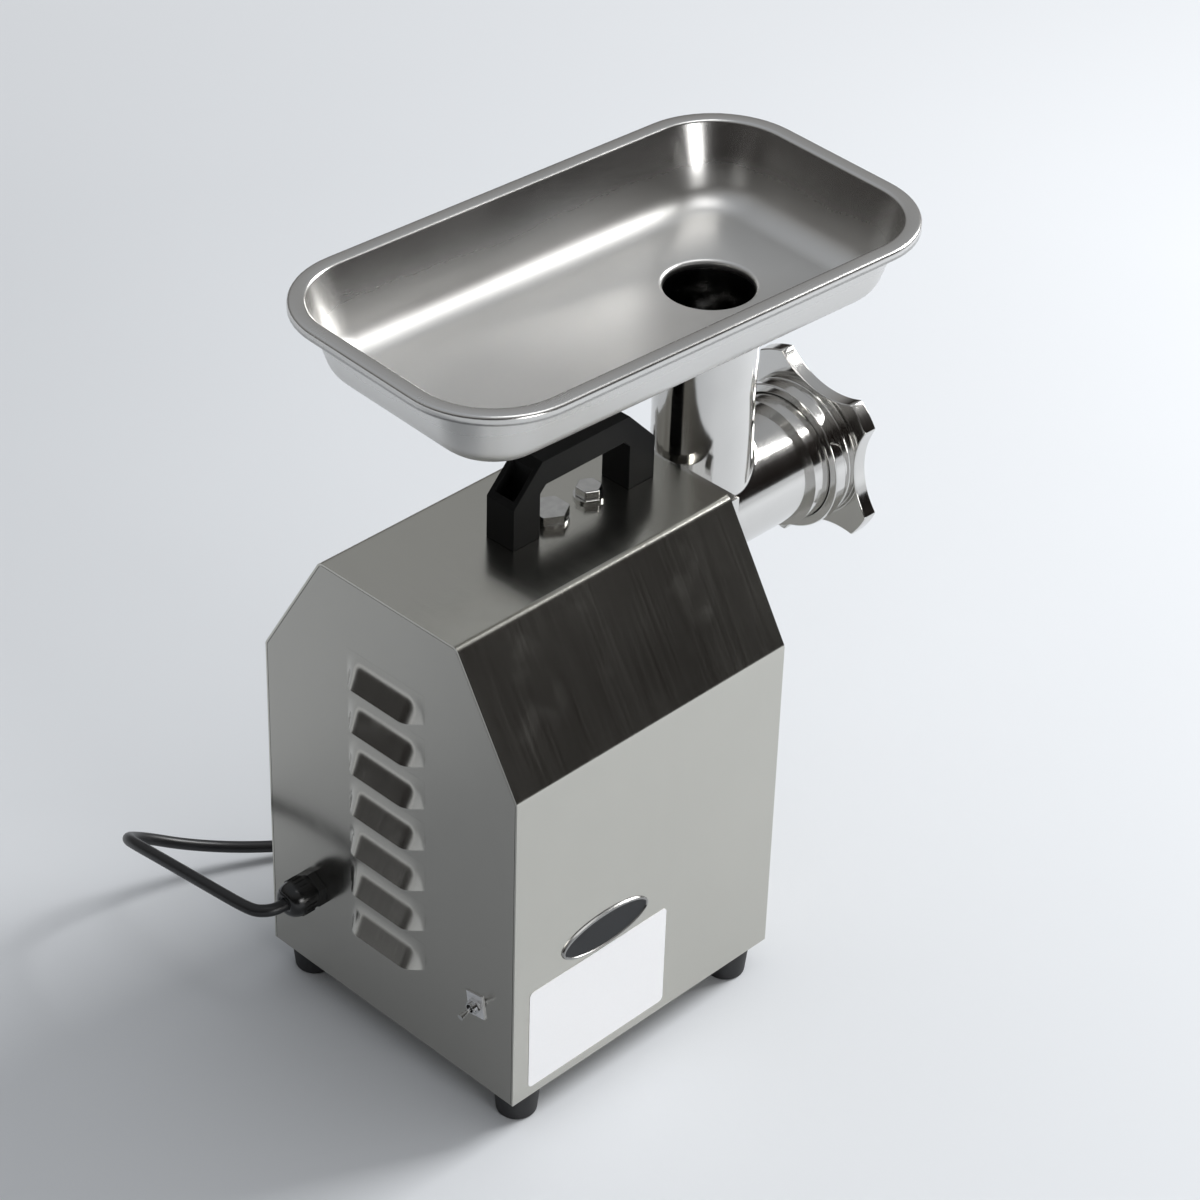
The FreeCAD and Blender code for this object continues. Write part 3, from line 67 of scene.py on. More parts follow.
# the coil's middle on the floor, and the runs of its straight tail into the plug
COIL_CENTRE = Vector((0.172, -0.048, 0.0051))
COIL_TAIL = (0.012, 0.028, 0.042)

# radius and distance from the panel of each line of the gland's cap, from its foot to its nose
GLAND_BASE = 0.0056
GLAND_CAP = [
    (0, GLAND_BASE), (0.0098, GLAND_BASE), (0.0098, 0.0066), (0.0103, 0.0072), (0.0103, 0.0150),
    (0.0099, 0.0170), (0.0090, 0.0192), (0.0078, 0.0208), (0.0064, 0.0218), (0.0048, 0.0220),
    (0.0036, 0.0214), (0, 0.0214),
]

# inset and rise of each step of the badge: its side, its rim and the sunk enamel
BADGE_STEPS = ((0.0004, 0.0010), (0.0010, 0.0003), (0.0004, -0.0005))

# name, place, power in watts and side of each square lamp, and the point that they face
LAMPS = (
    ("key_softbox", (-0.72, -2.45, 1.7), 86, 1.2),
    ("side_softbox", (-2.4, 0.35, 0.75), 14, 0.8),
    ("top_softbox", (-0.6, -0.4, 2.8), 12, 1.4),
)
LAMP_TARGET = (0, 0, 0.25)
# the dim room that the steel mirrors, from the floor's edge to overhead
ROOM_STOPS = (
    (0.0, (0.012, 0.010, 0.009)), (0.32, (0.022, 0.019, 0.017)), (0.55, (0.30, 0.295, 0.29)),
    (0.75, (0.40, 0.41, 0.42)), (1.0, (0.46, 0.48, 0.51)),
)
# how much paler the backdrop is than the floor, half the floor's side, and where it fades to the backdrop
BACKDROP_GAIN = 1.05
FLOOR_HALF = 12
FLOOR_FADE = (0.9, 2.0)

# the camera's azimuth, elevation and roll in degrees, what it looks at, and its lens
CAMERA_ANGLES = (223.779, 35.419, 1.793)
CAMERA_TARGET = Vector((-0.0532, 0.051, 0.279))
CAMERA_DISTANCE = 1.8576
CAMERA_LENS = 109.4


def length(name, text, default):
    return FloatProperty(name=name, description=text, default=default, unit="LENGTH")


def colour(name, text, default):
    return FloatVectorProperty(name=name, description=text, default=default, subtype="COLOR", size=3,
                               min=0, max=1)


class GrinderSizes(bpy.types.PropertyGroup):
    """Sizes of the dressed pieces."""

    tray_corner: length("Tray corner", "Corner radius of the tray's rim", 0.052)
    tray_rim: length("Tray rim", "Width of the flat rim", 0.009)
    tray_lip: length("Tray lip", "Depth of the turned-down edge", 0.005)
    tray_lean: length("Tray lean", "How far the wall leans in on its way down", 0.0145)
    tray_floor_round: length("Tray foot", "Radius between wall and floor", 0.018)
    tray_sheet: length("Tray sheet", "Thickness of the tray's sheet", 0.001)
    tray_turn: FloatProperty(name="Tray turn", description="Turn of the tray on its throat",
                             default=math.radians(-3), subtype="ANGLE")
    tray_depth: length("Tray depth", "Height of the rim over the floor", 0.044)
    tray_half_w: length("Tray half width", "Half the tray's width", 0.09)
    tray_half_l: length("Tray half length", "Half the tray's length", 0.1635)
    tray_back: length("Tray back", "Middle of the tray behind the throat", 0.0706)
    throat_y: length("Throat", "Place of the throat's axis along the machine", -0.0793)
    spout_bore: length("Spout bore", "Radius of the hole in the tray", 0.0246)
    spout_drop: length("Spout drop", "How far the spout reaches into the throat", 0.044)
    louvre_count: IntProperty(name="Louvres", description="Number of louvres", default=7)
    louvre_half: length("Louvre half length", "Half the length of a louvre", 0.029)
    louvre_fade: length("Louvre fade", "Run of a hood's ends into the panel", 0.012)
    louvre_high: length("Louvre height", "Height of a louvre's hood", 0.018)
    louvre_sheet: length("Louvre sheet", "Thickness of a hood", 0.0006)
    louvre_out: length("Louvre reach", "How far a hood stands out", 0.0075)
    louvre_low: length("First louvre", "Height of the lowest hood's edge", 0.072)
    louvre_pitch: length("Louvre pitch", "Distance from louvre to louvre", 0.0273)
    louvre_x: length("Louvre place", "Middle of the louvres", 0.0015)
    label_half_h: length("Label half height", "Half the label's height", 0.033)
    label_half_l: length("Label half length", "Half the label's length", 0.051)
    label_corner: length("Label corner", "Corner radius of the label", 0.003)
    label_sheet: length("Label sheet", "Thickness of the label", 0.0002)
    label_y: length("Label place", "Middle of the label along the machine", 0.087)
    label_z: length("Label height", "Middle of the label over the floor", 0.059)
    badge_half_h: length("Badge half height", "Half the badge's height", 0.0115)
    badge_half_l: length("Badge half length", "Half the badge's length", 0.032)
    badge_y: length("Badge place", "Middle of the badge along the machine", 0.083)
    badge_z: length("Badge height", "Middle of the badge over the floor", 0.105)
    rib_count: IntProperty(name="Gland ribs", description="Number of ribs on the gland's cap", default=20)
    rib_long: length("Rib length", "Length of a rib", 0.0070)
    rib_thick: length("Rib thickness", "Thickness of a rib", 0.0011)
    rib_out: length("Rib reach", "Distance of a rib from the gland's axis", 0.0103)
    rib_y: length("Rib place", "Middle of a rib from the panel", 0.0112)
    edge_round: length("Edge round", "Rounding of moulded edges", 0.0012)
    cord_radius: length("Cord radius", "Half the cord's thickness", 0.0035)
    coil_radius: length("Coil radius", "Outer radius of the coil's middle line", 0.048)
    coil_step: length("Coil step", "Distance from turn to turn", 0.0076)


class GrinderColours(bpy.types.PropertyGroup):
    """Colours of the finishes."""

    sheet: colour("Sheet", "Brushed stainless sheet", (0.56, 0.55, 0.505))
    # the panels and the base plate take the sheet's steel darkened to about four fifths: painted shade
    panel: colour("Panel", "Brushed panels at the ends", (0.44, 0.43, 0.4))
    tray: colour("Tray", "Satin stainless pressing", (0.66, 0.652, 0.635))
    polish: colour("Polish", "Polished stainless casting", (0.665, 0.657, 0.64))
    plating: colour("Plating", "Plated fasteners", (0.64, 0.635, 0.62))
    plastic: colour("Plastic", "Black moulded plastic", (0.006, 0.006, 0.006))
    rubber: colour("Rubber", "Black rubber", (0.014, 0.014, 0.015))
    flex: colour("Flex", "Black cord skin", (0.008, 0.008, 0.009))
    label: colour("Label", "Blank paper label", (0.97, 0.97, 0.98))
    badge: colour("Badge", "Blank enamel badge", (0.014, 0.015, 0.017))
    cutter: colour("Cutter", "Ground steel of the knife and plate", (0.5, 0.5, 0.5))
    chrome: colour("Chrome", "Bright pieces of the switch", (0.7, 0.7, 0.7))
    switch_plate: colour("Switch plate", "Pale plate under the switch's nut", (0.85, 0.85, 0.86))
    casting: colour("Casting", "Gearbox and motor castings", (0.42, 0.42, 0.43))
    shaft: colour("Shaft", "Shafts and bearings", (0.52, 0.51, 0.50))
    gear: colour("Gear", "Gear steel", (0.45, 0.44, 0.43))
    lamination: colour("Lamination", "Motor sheet steel", (0.30, 0.30, 0.31))
    copper: colour("Copper", "Motor windings", (0.72, 0.36, 0.20))
    floor: colour("Floor", "Pale floor", (0.725, 0.745, 0.77))


class Value:
    """A shader socket that takes Python's arithmetic."""

    def __init__(self, finish, socket):
        self.finish = finish
        self.socket = socket

    def math(self, operation, first, second):
        return self.finish.add("Math", {"operation": operation}, i0=first, i1=second)

    def __add__(self, other):
        return self.math("ADD", self, other)

    def __radd__(self, other):
        return self.math("ADD", other, self)

    def __rsub__(self, other):
        return self.math("SUBTRACT", other, self)

    def __mul__(self, other):
        return self.math("MULTIPLY", self, other)

    def __rmul__(self, other):
        return self.math("MULTIPLY", other, self)


class Finish:
    """A node tree about one shader: a material's Principled BSDF or the world's Background."""

    def __init__(self, name, owner="materials", shader="Principled BSDF"):
        self.material = getattr(bpy.data, owner).new(name)
        self.material.use_nodes = True
        self.tree = self.material.node_tree
        self.shader = self.tree.nodes[shader]

    def add(self, kind, settings=None, output=0, **inputs):
        node = self.tree.nodes.new("ShaderNode" + kind)
        for name, value in (settings or {}).items():
            if name == "stops":
                elements = node.color_ramp.elements
                while len(elements) < len(value):
                    elements.new(1.0)
                for stop, (place, tone) in zip(elements, value):
                    stop.position = place
                    stop.color = (*tone, 1)
            else:
                setattr(node, name, value)
        for name, value in inputs.items():
            numbered = name[0] == "i" and name[1:].isdigit()
            self.feed(node.inputs[int(name[1:]) if numbered else name.replace("_", " ")], value)
        return Value(self, node.outputs[output])

    def feed(self, socket, value):
        if isinstance(value, Value):
            self.tree.links.new(value.socket, socket)
        else:
            socket.default_value = value

    def set(self, **inputs):
        for name, value in inputs.items():
            self.feed(self.shader.inputs[name.replace("_", " ")], value)
        return self

    def noise(self, scale, detail=3.0, stretch=(1, 1, 1), rough=0.5):
        """Noise on the piece's own coordinates, in features per metre."""
        coords = self.add("TexCoord", output=3)
        mapped = self.add("Mapping", Vector=coords, Scale=stretch)
        return self.add("TexNoise", Vector=mapped, Scale=scale, Detail=detail, Roughness=rough)

    def ramp(self, value, low, high):
        return self.add("ValToRGB", {"stops": ((low, (0, 0, 0)), (high, (1, 1, 1)))}, Fac=value)

    def blend(self, factor, first, second):
        return self.add("Mix", {"data_type": "RGBA"}, output=2, i0=factor, i6=(*first, 1), i7=(*second, 1))

    def bump(self, height, strength, distance):
        return self.add("Bump", Height=height, Strength=strength, Distance=distance)


def shade(base, factor):
    return tuple(min(1.0, part * factor) for part in base)


def brushed_sheet(name, base, stretch, rough=0.12, grain=0.08):
    """Rolled sheet: fine grain along one direction, cloudy smears and a few dull marks."""
    finish = Finish(name)
    streak = finish.noise(1.0, detail=4, stretch=stretch, rough=0.6)
    cloud = finish.noise(11, detail=4)
    marks = finish.ramp(finish.noise(38, detail=5), low=0.58, high=0.78)
    tint = finish.blend(cloud * 0.6 + streak * 0.4, shade(base, 0.92), shade(base, 1.07))
    finish.set(Base_Color=tint, Metallic=1.0, Roughness=rough + grain * streak + 0.08 * cloud + 0.05 * marks)
    finish.set(Normal=finish.bump(streak, strength=0.015, distance=0.0002))
    return finish.material


def satin_pressing(name, base):
    """Pressed sheet: soft polishing swirls, cloudy satin areas and a smooth bore below the floor, darkened
    with painted shade.
    """
    finish = Finish(name)
    swirl = finish.noise(26, detail=3, stretch=(1.0, 0.45, 1.0))
    cloud = finish.noise(9, detail=2)
    fine = finish.noise(1.0, detail=3, stretch=(900, 160, 700))
    height = finish.add("SeparateXYZ", output=2, Vector=finish.add("TexCoord", output=3))
    wall_low, wall_high, bore_low, bore_high = 0.400, 0.416, 0.384, 0.3885
    wall = finish.add("MapRange", Value=height, From_Min=wall_low, From_Max=wall_high)
    pan = finish.add("MapRange", Value=height, From_Min=bore_low, From_Max=bore_high)
    tint = finish.blend(swirl * 0.4 + cloud * 0.6, shade(base, 0.93), shade(base, 1.06))
    # below the floor the colour is darkened to 0.3 of the steel's: painted shade down the bore, where pan is
    # 0
    tint = finish.add("Mix", {"data_type": "RGBA"}, output=2, i0=pan, i6=(*shade(base, 0.3), 1), i7=tint)
    rough = 0.10 - 0.13 * wall + 0.16 * pan + 0.12 * swirl + 0.08 * cloud + 0.04 * fine
    finish.set(Base_Color=tint, Metallic=1.0, Roughness=rough)
    finish.set(Normal=finish.bump(fine, strength=0.008, distance=0.0002))
    return finish.material


def polished_casting(name, base, stretch):
    """Buffed casting: near mirror with faint turning lines and hazy spots."""
    finish = Finish(name)
    lines = finish.noise(1.0, detail=2, stretch=stretch)
    haze = finish.noise(45, detail=5)
    tint = finish.blend(haze, shade(base, 0.92), shade(base, 1.06))
    finish.set(Base_Color=tint, Metallic=1.0, Roughness=0.05 + 0.06 * lines + 0.08 * haze)
    finish.set(Normal=finish.bump(lines * 0.5 + haze * 0.5, strength=0.05, distance=0.0003))
    return finish.material


def plated_steel(name, base, rough=0.07):
    """Plated fasteners: warm patches and fine scratches."""
    finish = Finish(name)
    patch = finish.noise(240, detail=4)
    scratch = finish.noise(1.0, detail=3, stretch=(2600, 900, 2600))
    tint = finish.blend(patch, shade(base, 0.8), shade(base, 1.12))
    finish.set(Base_Color=tint, Metallic=1.0, Roughness=rough + 0.06 * patch + 0.05 * scratch)
    finish.set(Normal=finish.bump(scratch, strength=0.03, distance=0.0001))
    return finish.material


def moulded_plastic(name, base, rough=0.42, gloss=0.1):
    """Moulded black plastic: fine spark texture and rubbed patches."""
    finish = Finish(name)
    spark = finish.noise(2600, detail=2)
    rub = finish.noise(60, detail=4)
    tint = finish.blend(rub, shade(base, 0.8), shade(base, 1.7))
    finish.set(Base_Color=tint, Roughness=rough + 0.10 * rub + 0.05 * spark, Specular_IOR_Level=gloss)
    finish.set(Normal=finish.bump(spark, strength=0.08, distance=0.0001))
    return finish.material


def soft_rubber(name, base, rough=0.55):
    """Rubber: dusty bloom over a fine pitted skin."""
    finish = Finish(name)
    bloom = finish.noise(90, detail=5)
    pits = finish.noise(1500, detail=2)
    tint = finish.blend(bloom, shade(base, 0.8), shade(base, 2.0))
    finish.set(Base_Color=tint, Roughness=rough + 0.15 * bloom)
    finish.set(Normal=finish.bump(pits, strength=0.15, distance=0.0001))
    return finish.material


def cast_metal(name, base, rough=0.45):
    """Plain castings and machined pieces inside the housing."""
    finish = Finish(name)
    grain = finish.noise(700, detail=3)
    patch = finish.noise(40, detail=4)
    tint = finish.blend(patch, shade(base, 0.82), shade(base, 1.1))
    finish.set(Base_Color=tint, Metallic=1.0, Roughness=rough + 0.15 * patch)
    finish.set(Normal=finish.bump(grain, strength=0.15, distance=0.0002))
    return finish.material


def paper_label(name, base, rough=0.5, coat=0.2, gloss=0.5):
    """A blank stuck-on label: faint fibre and a little gloss."""
    finish = Finish(name)
    fibre = finish.noise(900, detail=3)
    tint = finish.blend(fibre, shade(base, 0.97), shade(base, 1.02))
    finish.set(Base_Color=tint, Roughness=rough + 0.1 * fibre, Coat_Weight=coat, Specular_IOR_Level=gloss)
    return finish.material


def sizes():
    return bpy.context.scene.grinder_sizes


def colours():
    return bpy.context.scene.grinder_colours


def paint(material, *names):
    """Give CAD nodes a finish in place of their own."""
    for name in names:
        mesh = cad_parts[name].data
        mesh.materials.clear()
        mesh.materials.append(material)


def smooth(obj, degrees=35):
    """Smooth shading that keeps edges sharper than an angle."""
    for face in obj.data.polygons:
        face.use_smooth = degrees > 0
    obj.data.set_sharp_from_angle(angle=math.radians(degrees))


def mesh_object(name, form, material):
    """Turn a bmesh into an object in the scene."""
    mesh = bpy.data.meshes.new(name)
    form.to_mesh(mesh)
    form.free()
    mesh.materials.append(material)
    obj = bpy.data.objects.new(name, mesh)
    bpy.context.scene.collection.objects.link(obj)
    return obj


def piece(name, form, material, body, replaced=(), degrees=35):
    """Turn a bmesh into a piece that rides on a body."""
    obj = mesh_object(name, form, material)
    smooth(obj, degrees)
    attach(obj, body)
    if replaced:
        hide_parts(*replaced)
    return obj


def thicken(obj, amount, offset=-1.0):
    wall = obj.modifiers.new("wall", "SOLIDIFY")
    wall.thickness = amount
    wall.offset = offset
    wall.use_even_offset = True
    return obj


def soften(obj, width, segments=3, degrees=30):
    """Round the piece's sharp edges."""
    bevel = obj.modifiers.new("edge", "BEVEL")
    bevel.width = width
    bevel.segments = segments
    bevel.limit_method = "ANGLE"
    bevel.angle_limit = math.radians(degrees)
    bevel.harden_normals = True
    return obj


def merged_copy(node):
    """A bmesh of a CAD node with its loose triangles joined and its flat faces made whole."""
    form = bmesh.new()
    form.from_mesh(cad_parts[node].data)
    bmesh.ops.remove_doubles(form, verts=form.verts, dist=1e-6)
    bmesh.ops.dissolve_limit(form, angle_limit=math.radians(0.5), verts=form.verts, edges=form.edges)
    return form


def rounded(name, node, material, body, width):
    """A copy of a CAD node with its sharp edges rounded."""
    obj = piece(name, merged_copy(node), material, body, (node,))
    return soften(obj, width)


def turned(form, lines, centre, steps):
    """Spin a line of (radius, along) points about an axis that runs backwards through a centre."""
    verts = [form.verts.new((centre.x + radius, centre.y + along, centre.z)) for radius, along in lines]
    edges = [form.edges.new(pair) for pair in zip(verts, verts[1:])]
    bmesh.ops.spin(form, geom=verts + edges, cent=centre, axis=(0, 1, 0), angle=2 * math.pi, steps=steps,
                   use_merge=True)
    bmesh.ops.remove_doubles(form, verts=form.verts, dist=1e-6)
    bmesh.ops.recalc_face_normals(form, faces=form.faces)


def rounded_outline(form, half_x, half_y, radius, height, segments):
    """One flat face with rounded corners."""
    made = bmesh.ops.create_grid(form, x_segments=1, y_segments=1, size=1)
    corners = made["verts"]
    bmesh.ops.scale(form, vec=(half_x, half_y, 1), verts=corners)
    bmesh.ops.translate(form, vec=(0, 0, height), verts=corners)
    bmesh.ops.bevel(form, geom=corners, offset=radius, offset_type="OFFSET", segments=segments, profile=0.5,
                    affect="VERTICES", material=-1)
    return form.faces[:]


class GRINDER_OT_stage(bpy.types.Operator):
    """Pale floor, soft lamps and the camera"""

    bl_idname = "grinder.stage"
    bl_label = "Stage"

    def execute(self, context):
        self.floor()
        self.lamps(context)
        self.room(context)
        self.camera(context)
        return {"FINISHED"}

    def floor(self):
        """A floor that is pale far out for the camera and for what mirrors it, and keeps its shadows near."""
        finish = Finish("pale_floor")
        cloud = finish.noise(1.4, detail=3)
        base = colours().floor
        finish.set(Base_Color=finish.blend(cloud, shade(base, 0.97), shade(base, 1.03)), Roughness=0.7,
                   Specular_IOR_Level=0.2)
        place = finish.add("TexCoord", output=3)
        far = finish.add("VectorMath", {"operation": "LENGTH"}, output="Value", i0=place)
        rim = finish.add("MapRange", Value=far, From_Min=FLOOR_FADE[0], From_Max=FLOOR_FADE[1])
        seen = finish.add("LightPath", output="Is Camera Ray")
        mirrored = finish.add("LightPath", output="Is Glossy Ray")
        through = finish.add("LightPath", output="Is Transmission Ray")
        pale = finish.add("Emission", Color=(*shade(base, BACKDROP_GAIN), 1))
        out = finish.tree.nodes["Material Output"]
        body = Value(finish, finish.shader.outputs[0])
        factor = rim * (seen + mirrored + through)
        finish.feed(out.inputs["Surface"], finish.add("MixShader", i0=factor, i1=body, i2=pale))
        form = bmesh.new()
        bmesh.ops.create_grid(form, x_segments=1, y_segments=1, size=FLOOR_HALF)
        obj = mesh_object("stage_floor", form, finish.material)

    def lamps(self, context):
        for name, place, power, side in LAMPS:
            light = bpy.data.lights.new(name, "AREA")
            light.energy = power
            light.shape = "SQUARE"
            light.size = side
            obj = bpy.data.objects.new(name, light)
            obj.location = place
            obj.visible_camera = False
            aim = Vector(LAMP_TARGET) - Vector(place)
            obj.rotation_euler = aim.to_track_quat("-Z", "Y").to_euler()
            context.scene.collection.objects.link(obj)

    def room(self, context):
        """A dim room for the steel to mirror, brighter overhead and in front, and pale for the camera."""
        sky = Finish("studio", "worlds", "Background")
        ray = sky.add("TexCoord", output=0)
        height = sky.add("SeparateXYZ", output=2, Vector=ray)
        across = sky.add("SeparateXYZ", output=0, Vector=ray)
        ahead = sky.add("SeparateXYZ", output=1, Vector=ray)
        front_edge, side_lean = -0.65, 0.25
        front = sky.add("Math", {"operation": "MAXIMUM"}, i0=front_edge - ahead, i1=0.0)
        dim = sky.add("ValToRGB", {"stops": ROOM_STOPS}, Fac=height + side_lean * across + front)
        seen = sky.add("LightPath", output="Is Camera Ray")
        pale = (*shade(colours().floor, BACKDROP_GAIN), 1)
        sky.set(Color=sky.add("Mix", {"data_type": "RGBA"}, output=2, i0=seen, i6=dim, i7=pale))
        context.scene.world = sky.material
        context.scene.view_settings.view_transform = "Standard"

    def camera(self, context):
        """The photograph's view, from behind and above on the switch's side."""
        azimuth, elevation, roll = (math.radians(angle) for angle in CAMERA_ANGLES)
        back = Vector((math.sin(azimuth) * math.cos(elevation), -math.cos(azimuth) * math.cos(elevation),
                       math.sin(elevation)))
        level = Vector((math.cos(azimuth), math.sin(azimuth), 0))
        upright = back.cross(level)
        right = level * math.cos(roll) + upright * math.sin(roll)
        up = upright * math.cos(roll) - level * math.sin(roll)
        data = bpy.data.cameras.new("photo_camera")
        data.sensor_width = 36
        data.lens = CAMERA_LENS
        data.clip_start = 0.05
        obj = bpy.data.objects.new("photo_camera", data)
        turn = Matrix((right, up, back)).transposed().to_4x4()
        obj.matrix_world = Matrix.Translation(CAMERA_TARGET + back * CAMERA_DISTANCE) @ turn
        context.scene.collection.objects.link(obj)
        context.scene.camera = obj


class GRINDER_OT_housing(bpy.types.Operator):
    """Bent wrap cover, louvred panel, front panel and base"""

    bl_idname = "grinder.housing"
    bl_label = "Housing"

    def execute(self, context):
        paint(brushed_sheet("wrap_sheet", colours().sheet, stretch=(14, 700, 14)), "wrap_cover")
        # the darker panel colour paints shade on the front panel, the base plate and the louvred rear panel
        panel = brushed_sheet("shaded_panel_sheet", colours().panel, stretch=(800, 1, 16), grain=0.06)
        paint(panel, "front_panel", "base_plate")
        self.louvred_panel(panel)
        return {"FINISHED"}

    def louvred_panel(self, material):
        """The rear panel cut flat, its slots kept, with a smooth hood pressed out over each slot."""
        size = sizes()
        face_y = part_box("wrap_cover")[1].y
        skin = 0.00002
        form = merged_copy("rear_panel")
        bmesh.ops.bisect_plane(form, geom=form.verts[:] + form.edges[:] + form.faces[:], clear_outer=True,
                               plane_co=(0, face_y - skin, 0), plane_no=(0, 1, 0))
        cut_edges = [edge for edge in form.edges if edge.is_boundary]
        bmesh.ops.triangle_fill(form, use_beauty=True, edges=cut_edges)
        for i in range(size.louvre_count):
            self.hood(form, size, face_y, size.louvre_low + size.louvre_pitch * i)
        bmesh.ops.recalc_face_normals(form, faces=form.faces)
        piece("louvred_panel", form, material, "chassis", ("rear_panel",), degrees=40)

    def hood(self, form, size, face_y, low):
        """A sheet drawn out over its slot, whose slope fades into the panel above and at its rounded ends."""
        made = bmesh.ops.create_grid(form, x_segments=48, y_segments=16, size=1)["verts"]
        bmesh.ops.scale(form, vec=(size.louvre_half, size.louvre_high / 2, 1), verts=made)
        bmesh.ops.rotate(form, cent=(0, 0, 0), matrix=QUARTER_TURN, verts=made)
        bmesh.ops.translate(form, vec=(size.louvre_x, face_y, low + size.louvre_high / 2), verts=made)
        start = 0.4
        for vert in made:
            end = 1 - (size.louvre_half - abs(vert.co.x - size.louvre_x)) / size.louvre_fade
            rise = (1 - (vert.co.z - low) / size.louvre_high) * (1 - max(0.0, end) ** 2)
            slope = (rise * rise / (2 * start) if rise < start else rise - start / 2) / (1 - start / 2)
            vert.co.y += size.louvre_out * slope
        sheet = list({face for vert in made for face in vert.link_faces})
        bmesh.ops.solidify(form, geom=sheet, thickness=-size.louvre_sheet)


class GRINDER_OT_labels(bpy.types.Operator):
    """Blank label and blank oval badge on the switch side"""

    bl_idname = "grinder.labels"
    bl_label = "Blank labels"

    def execute(self, context):
        size = sizes()
        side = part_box("wrap_cover")[0].x
        self.label(size, side)
        self.badge(size, side)
        return {"FINISHED"}

    def label(self, size, side):
        sunk = 0.00005
        form = bmesh.new()
        rounded_outline(form, size.label_half_h, size.label_half_l, size.label_corner, height=0, segments=4)
        self.stand(form, (side - sunk, size.label_y, size.label_z))
        paper = paper_label("label_paper", colours().label)
        label = piece("blank_label", form, paper, "chassis", degrees=0)
        thicken(label, size.label_sheet, offset=1.0)

    def badge(self, size, side):
        form = bmesh.new()
        bmesh.ops.create_circle(form, cap_ends=True, segments=64, radius=1.0)
        bmesh.ops.scale(form, vec=(size.badge_half_h, size.badge_half_l, 1), verts=form.verts)
        lid = form.faces[:]
        for inset, rise in BADGE_STEPS:
            bmesh.ops.inset_individual(form, faces=lid, thickness=inset, depth=rise, use_even_offset=True)
        for face in lid:
            face.material_index = 1
        bmesh.ops.holes_fill(form, edges=[edge for edge in form.edges if edge.is_boundary])
        self.stand(form, (side, size.badge_y, size.badge_z))
        # the rim takes the plating at half its tone: painted shade that dims the rim's highlight
        rim = plated_steel("badge_rim_shaded", shade(colours().plating, 0.5), rough=0.2)
        badge = piece("blank_badge", form, rim, "chassis")
        enamel = paper_label("badge_enamel", colours().badge, rough=0.3, coat=0.0, gloss=0.25)
        badge.data.materials.append(enamel)

    def stand(self, form, place):
        """Turn a flat form to face the switch side and put it in place."""
        turn = Matrix.Rotation(math.radians(-90), 3, "Y")
        bmesh.ops.rotate(form, cent=(0, 0, 0), matrix=turn, verts=form.verts)
        bmesh.ops.translate(form, vec=place, verts=form.verts)


class GRINDER_OT_tray(bpy.types.Operator):
    """Pressed feed tray with its rolled rim and spout"""

    bl_idname = "grinder.tray"
    bl_label = "Feed tray"

    def execute(self, context):
        size = sizes()
        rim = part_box("feed_tray")[1].z
        form = bmesh.new()
        inset, height = 0.0, rim - size.tray_lip
        face = rounded_outline(form, size.tray_half_w, size.tray_half_l, size.tray_corner, height,
                               segments=16)[0]
        for next_inset, drop in self.profile(size):
            bmesh.ops.inset_individual(form, faces=[face], thickness=next_inset - inset,
                                       depth=rim - drop - height, use_even_offset=True)
            inset, height = next_inset, rim - drop
        bmesh.ops.translate(form, vec=(0, size.throat_y + size.tray_back, 0), verts=form.verts)
        self.spout(form, face, size, height)
        turn = Matrix.Rotation(size.tray_turn, 3, "Z")
        bmesh.ops.rotate(form, cent=(0, size.throat_y, 0), matrix=turn, verts=form.verts)
        bmesh.ops.recalc_face_normals(form, faces=form.faces)
        satin = satin_pressing("tray_satin", colours().tray)
        tray = piece("pressed_tray", form, satin, "tray", ("feed_tray",), degrees=50)
        thicken(tray, size.tray_sheet)
        return {"FINISHED"}

    def profile(self, size):
        """Inset and drop below the rim of each line of the pressing, from the lip to the floor."""
        edge, steps = 0.002, 4
        lines = []
        for i in range(steps + 1):
            turn = math.pi / 2 * i / steps
            lines.append((edge * (1 - math.cos(turn)), edge * (1 - math.sin(turn))))
        wall = math.atan2(size.tray_depth, size.tray_lean)
        reach = edge * math.tan(wall / 2)
        for i in range(steps + 1):
            turn = wall * i / steps
            lines.append((size.tray_rim - reach + edge * math.sin(turn), edge * (1 - math.cos(turn))))
        radius = size.tray_floor_round
        middle = size.tray_rim + size.tray_lean + radius / math.tan((math.pi - wall) / 2)
        steps = 8
        for i in range(steps + 1):
            turn = wall * (1 - i / steps)
            drop = size.tray_depth - radius * (1 - math.cos(turn))
            lines.append((middle - radius * math.sin(turn), drop))
        return lines

    def spout(self, form, face, size, height):
        """Open the floor and draw it down into the throat."""
        rounding, steps = 0.0025, 4
        outer = face.edges[:]
        bmesh.ops.delete(form, geom=[face], context="FACES_ONLY")
        ring = bmesh.ops.create_circle(form, segments=96, radius=size.spout_bore + rounding)["verts"]
        bmesh.ops.translate(form, vec=(0, size.throat_y, height), verts=ring)
        edges = list({edge for vert in ring for edge in vert.link_edges})
        bmesh.ops.triangle_fill(form, use_beauty=True, edges=outer + edges)
        radius, level = size.spout_bore + rounding, 0.0
        lines = []
        for i in range(1, steps + 1):
            turn = math.pi / 2 * i / steps
            lines.append((size.spout_bore + rounding * (1 - math.sin(turn)), rounding * (1 - math.cos(turn))))
        lines.append((size.spout_bore, size.spout_drop))
        for next_radius, drop in lines:
            made = bmesh.ops.extrude_edge_only(form, edges=edges)["geom"]
            ring = [item for item in made if isinstance(item, bmesh.types.BMVert)]
            edges = [item for item in made if isinstance(item, bmesh.types.BMEdge)
                     and all(vert in ring for vert in item.verts)]
            middle = Matrix.Translation((0, -size.throat_y, 0))
            share = next_radius / radius
            bmesh.ops.scale(form, vec=(share, share, 1), space=middle, verts=ring)
            bmesh.ops.translate(form, vec=(0, 0, level - drop), verts=ring)
            radius, level = next_radius, drop


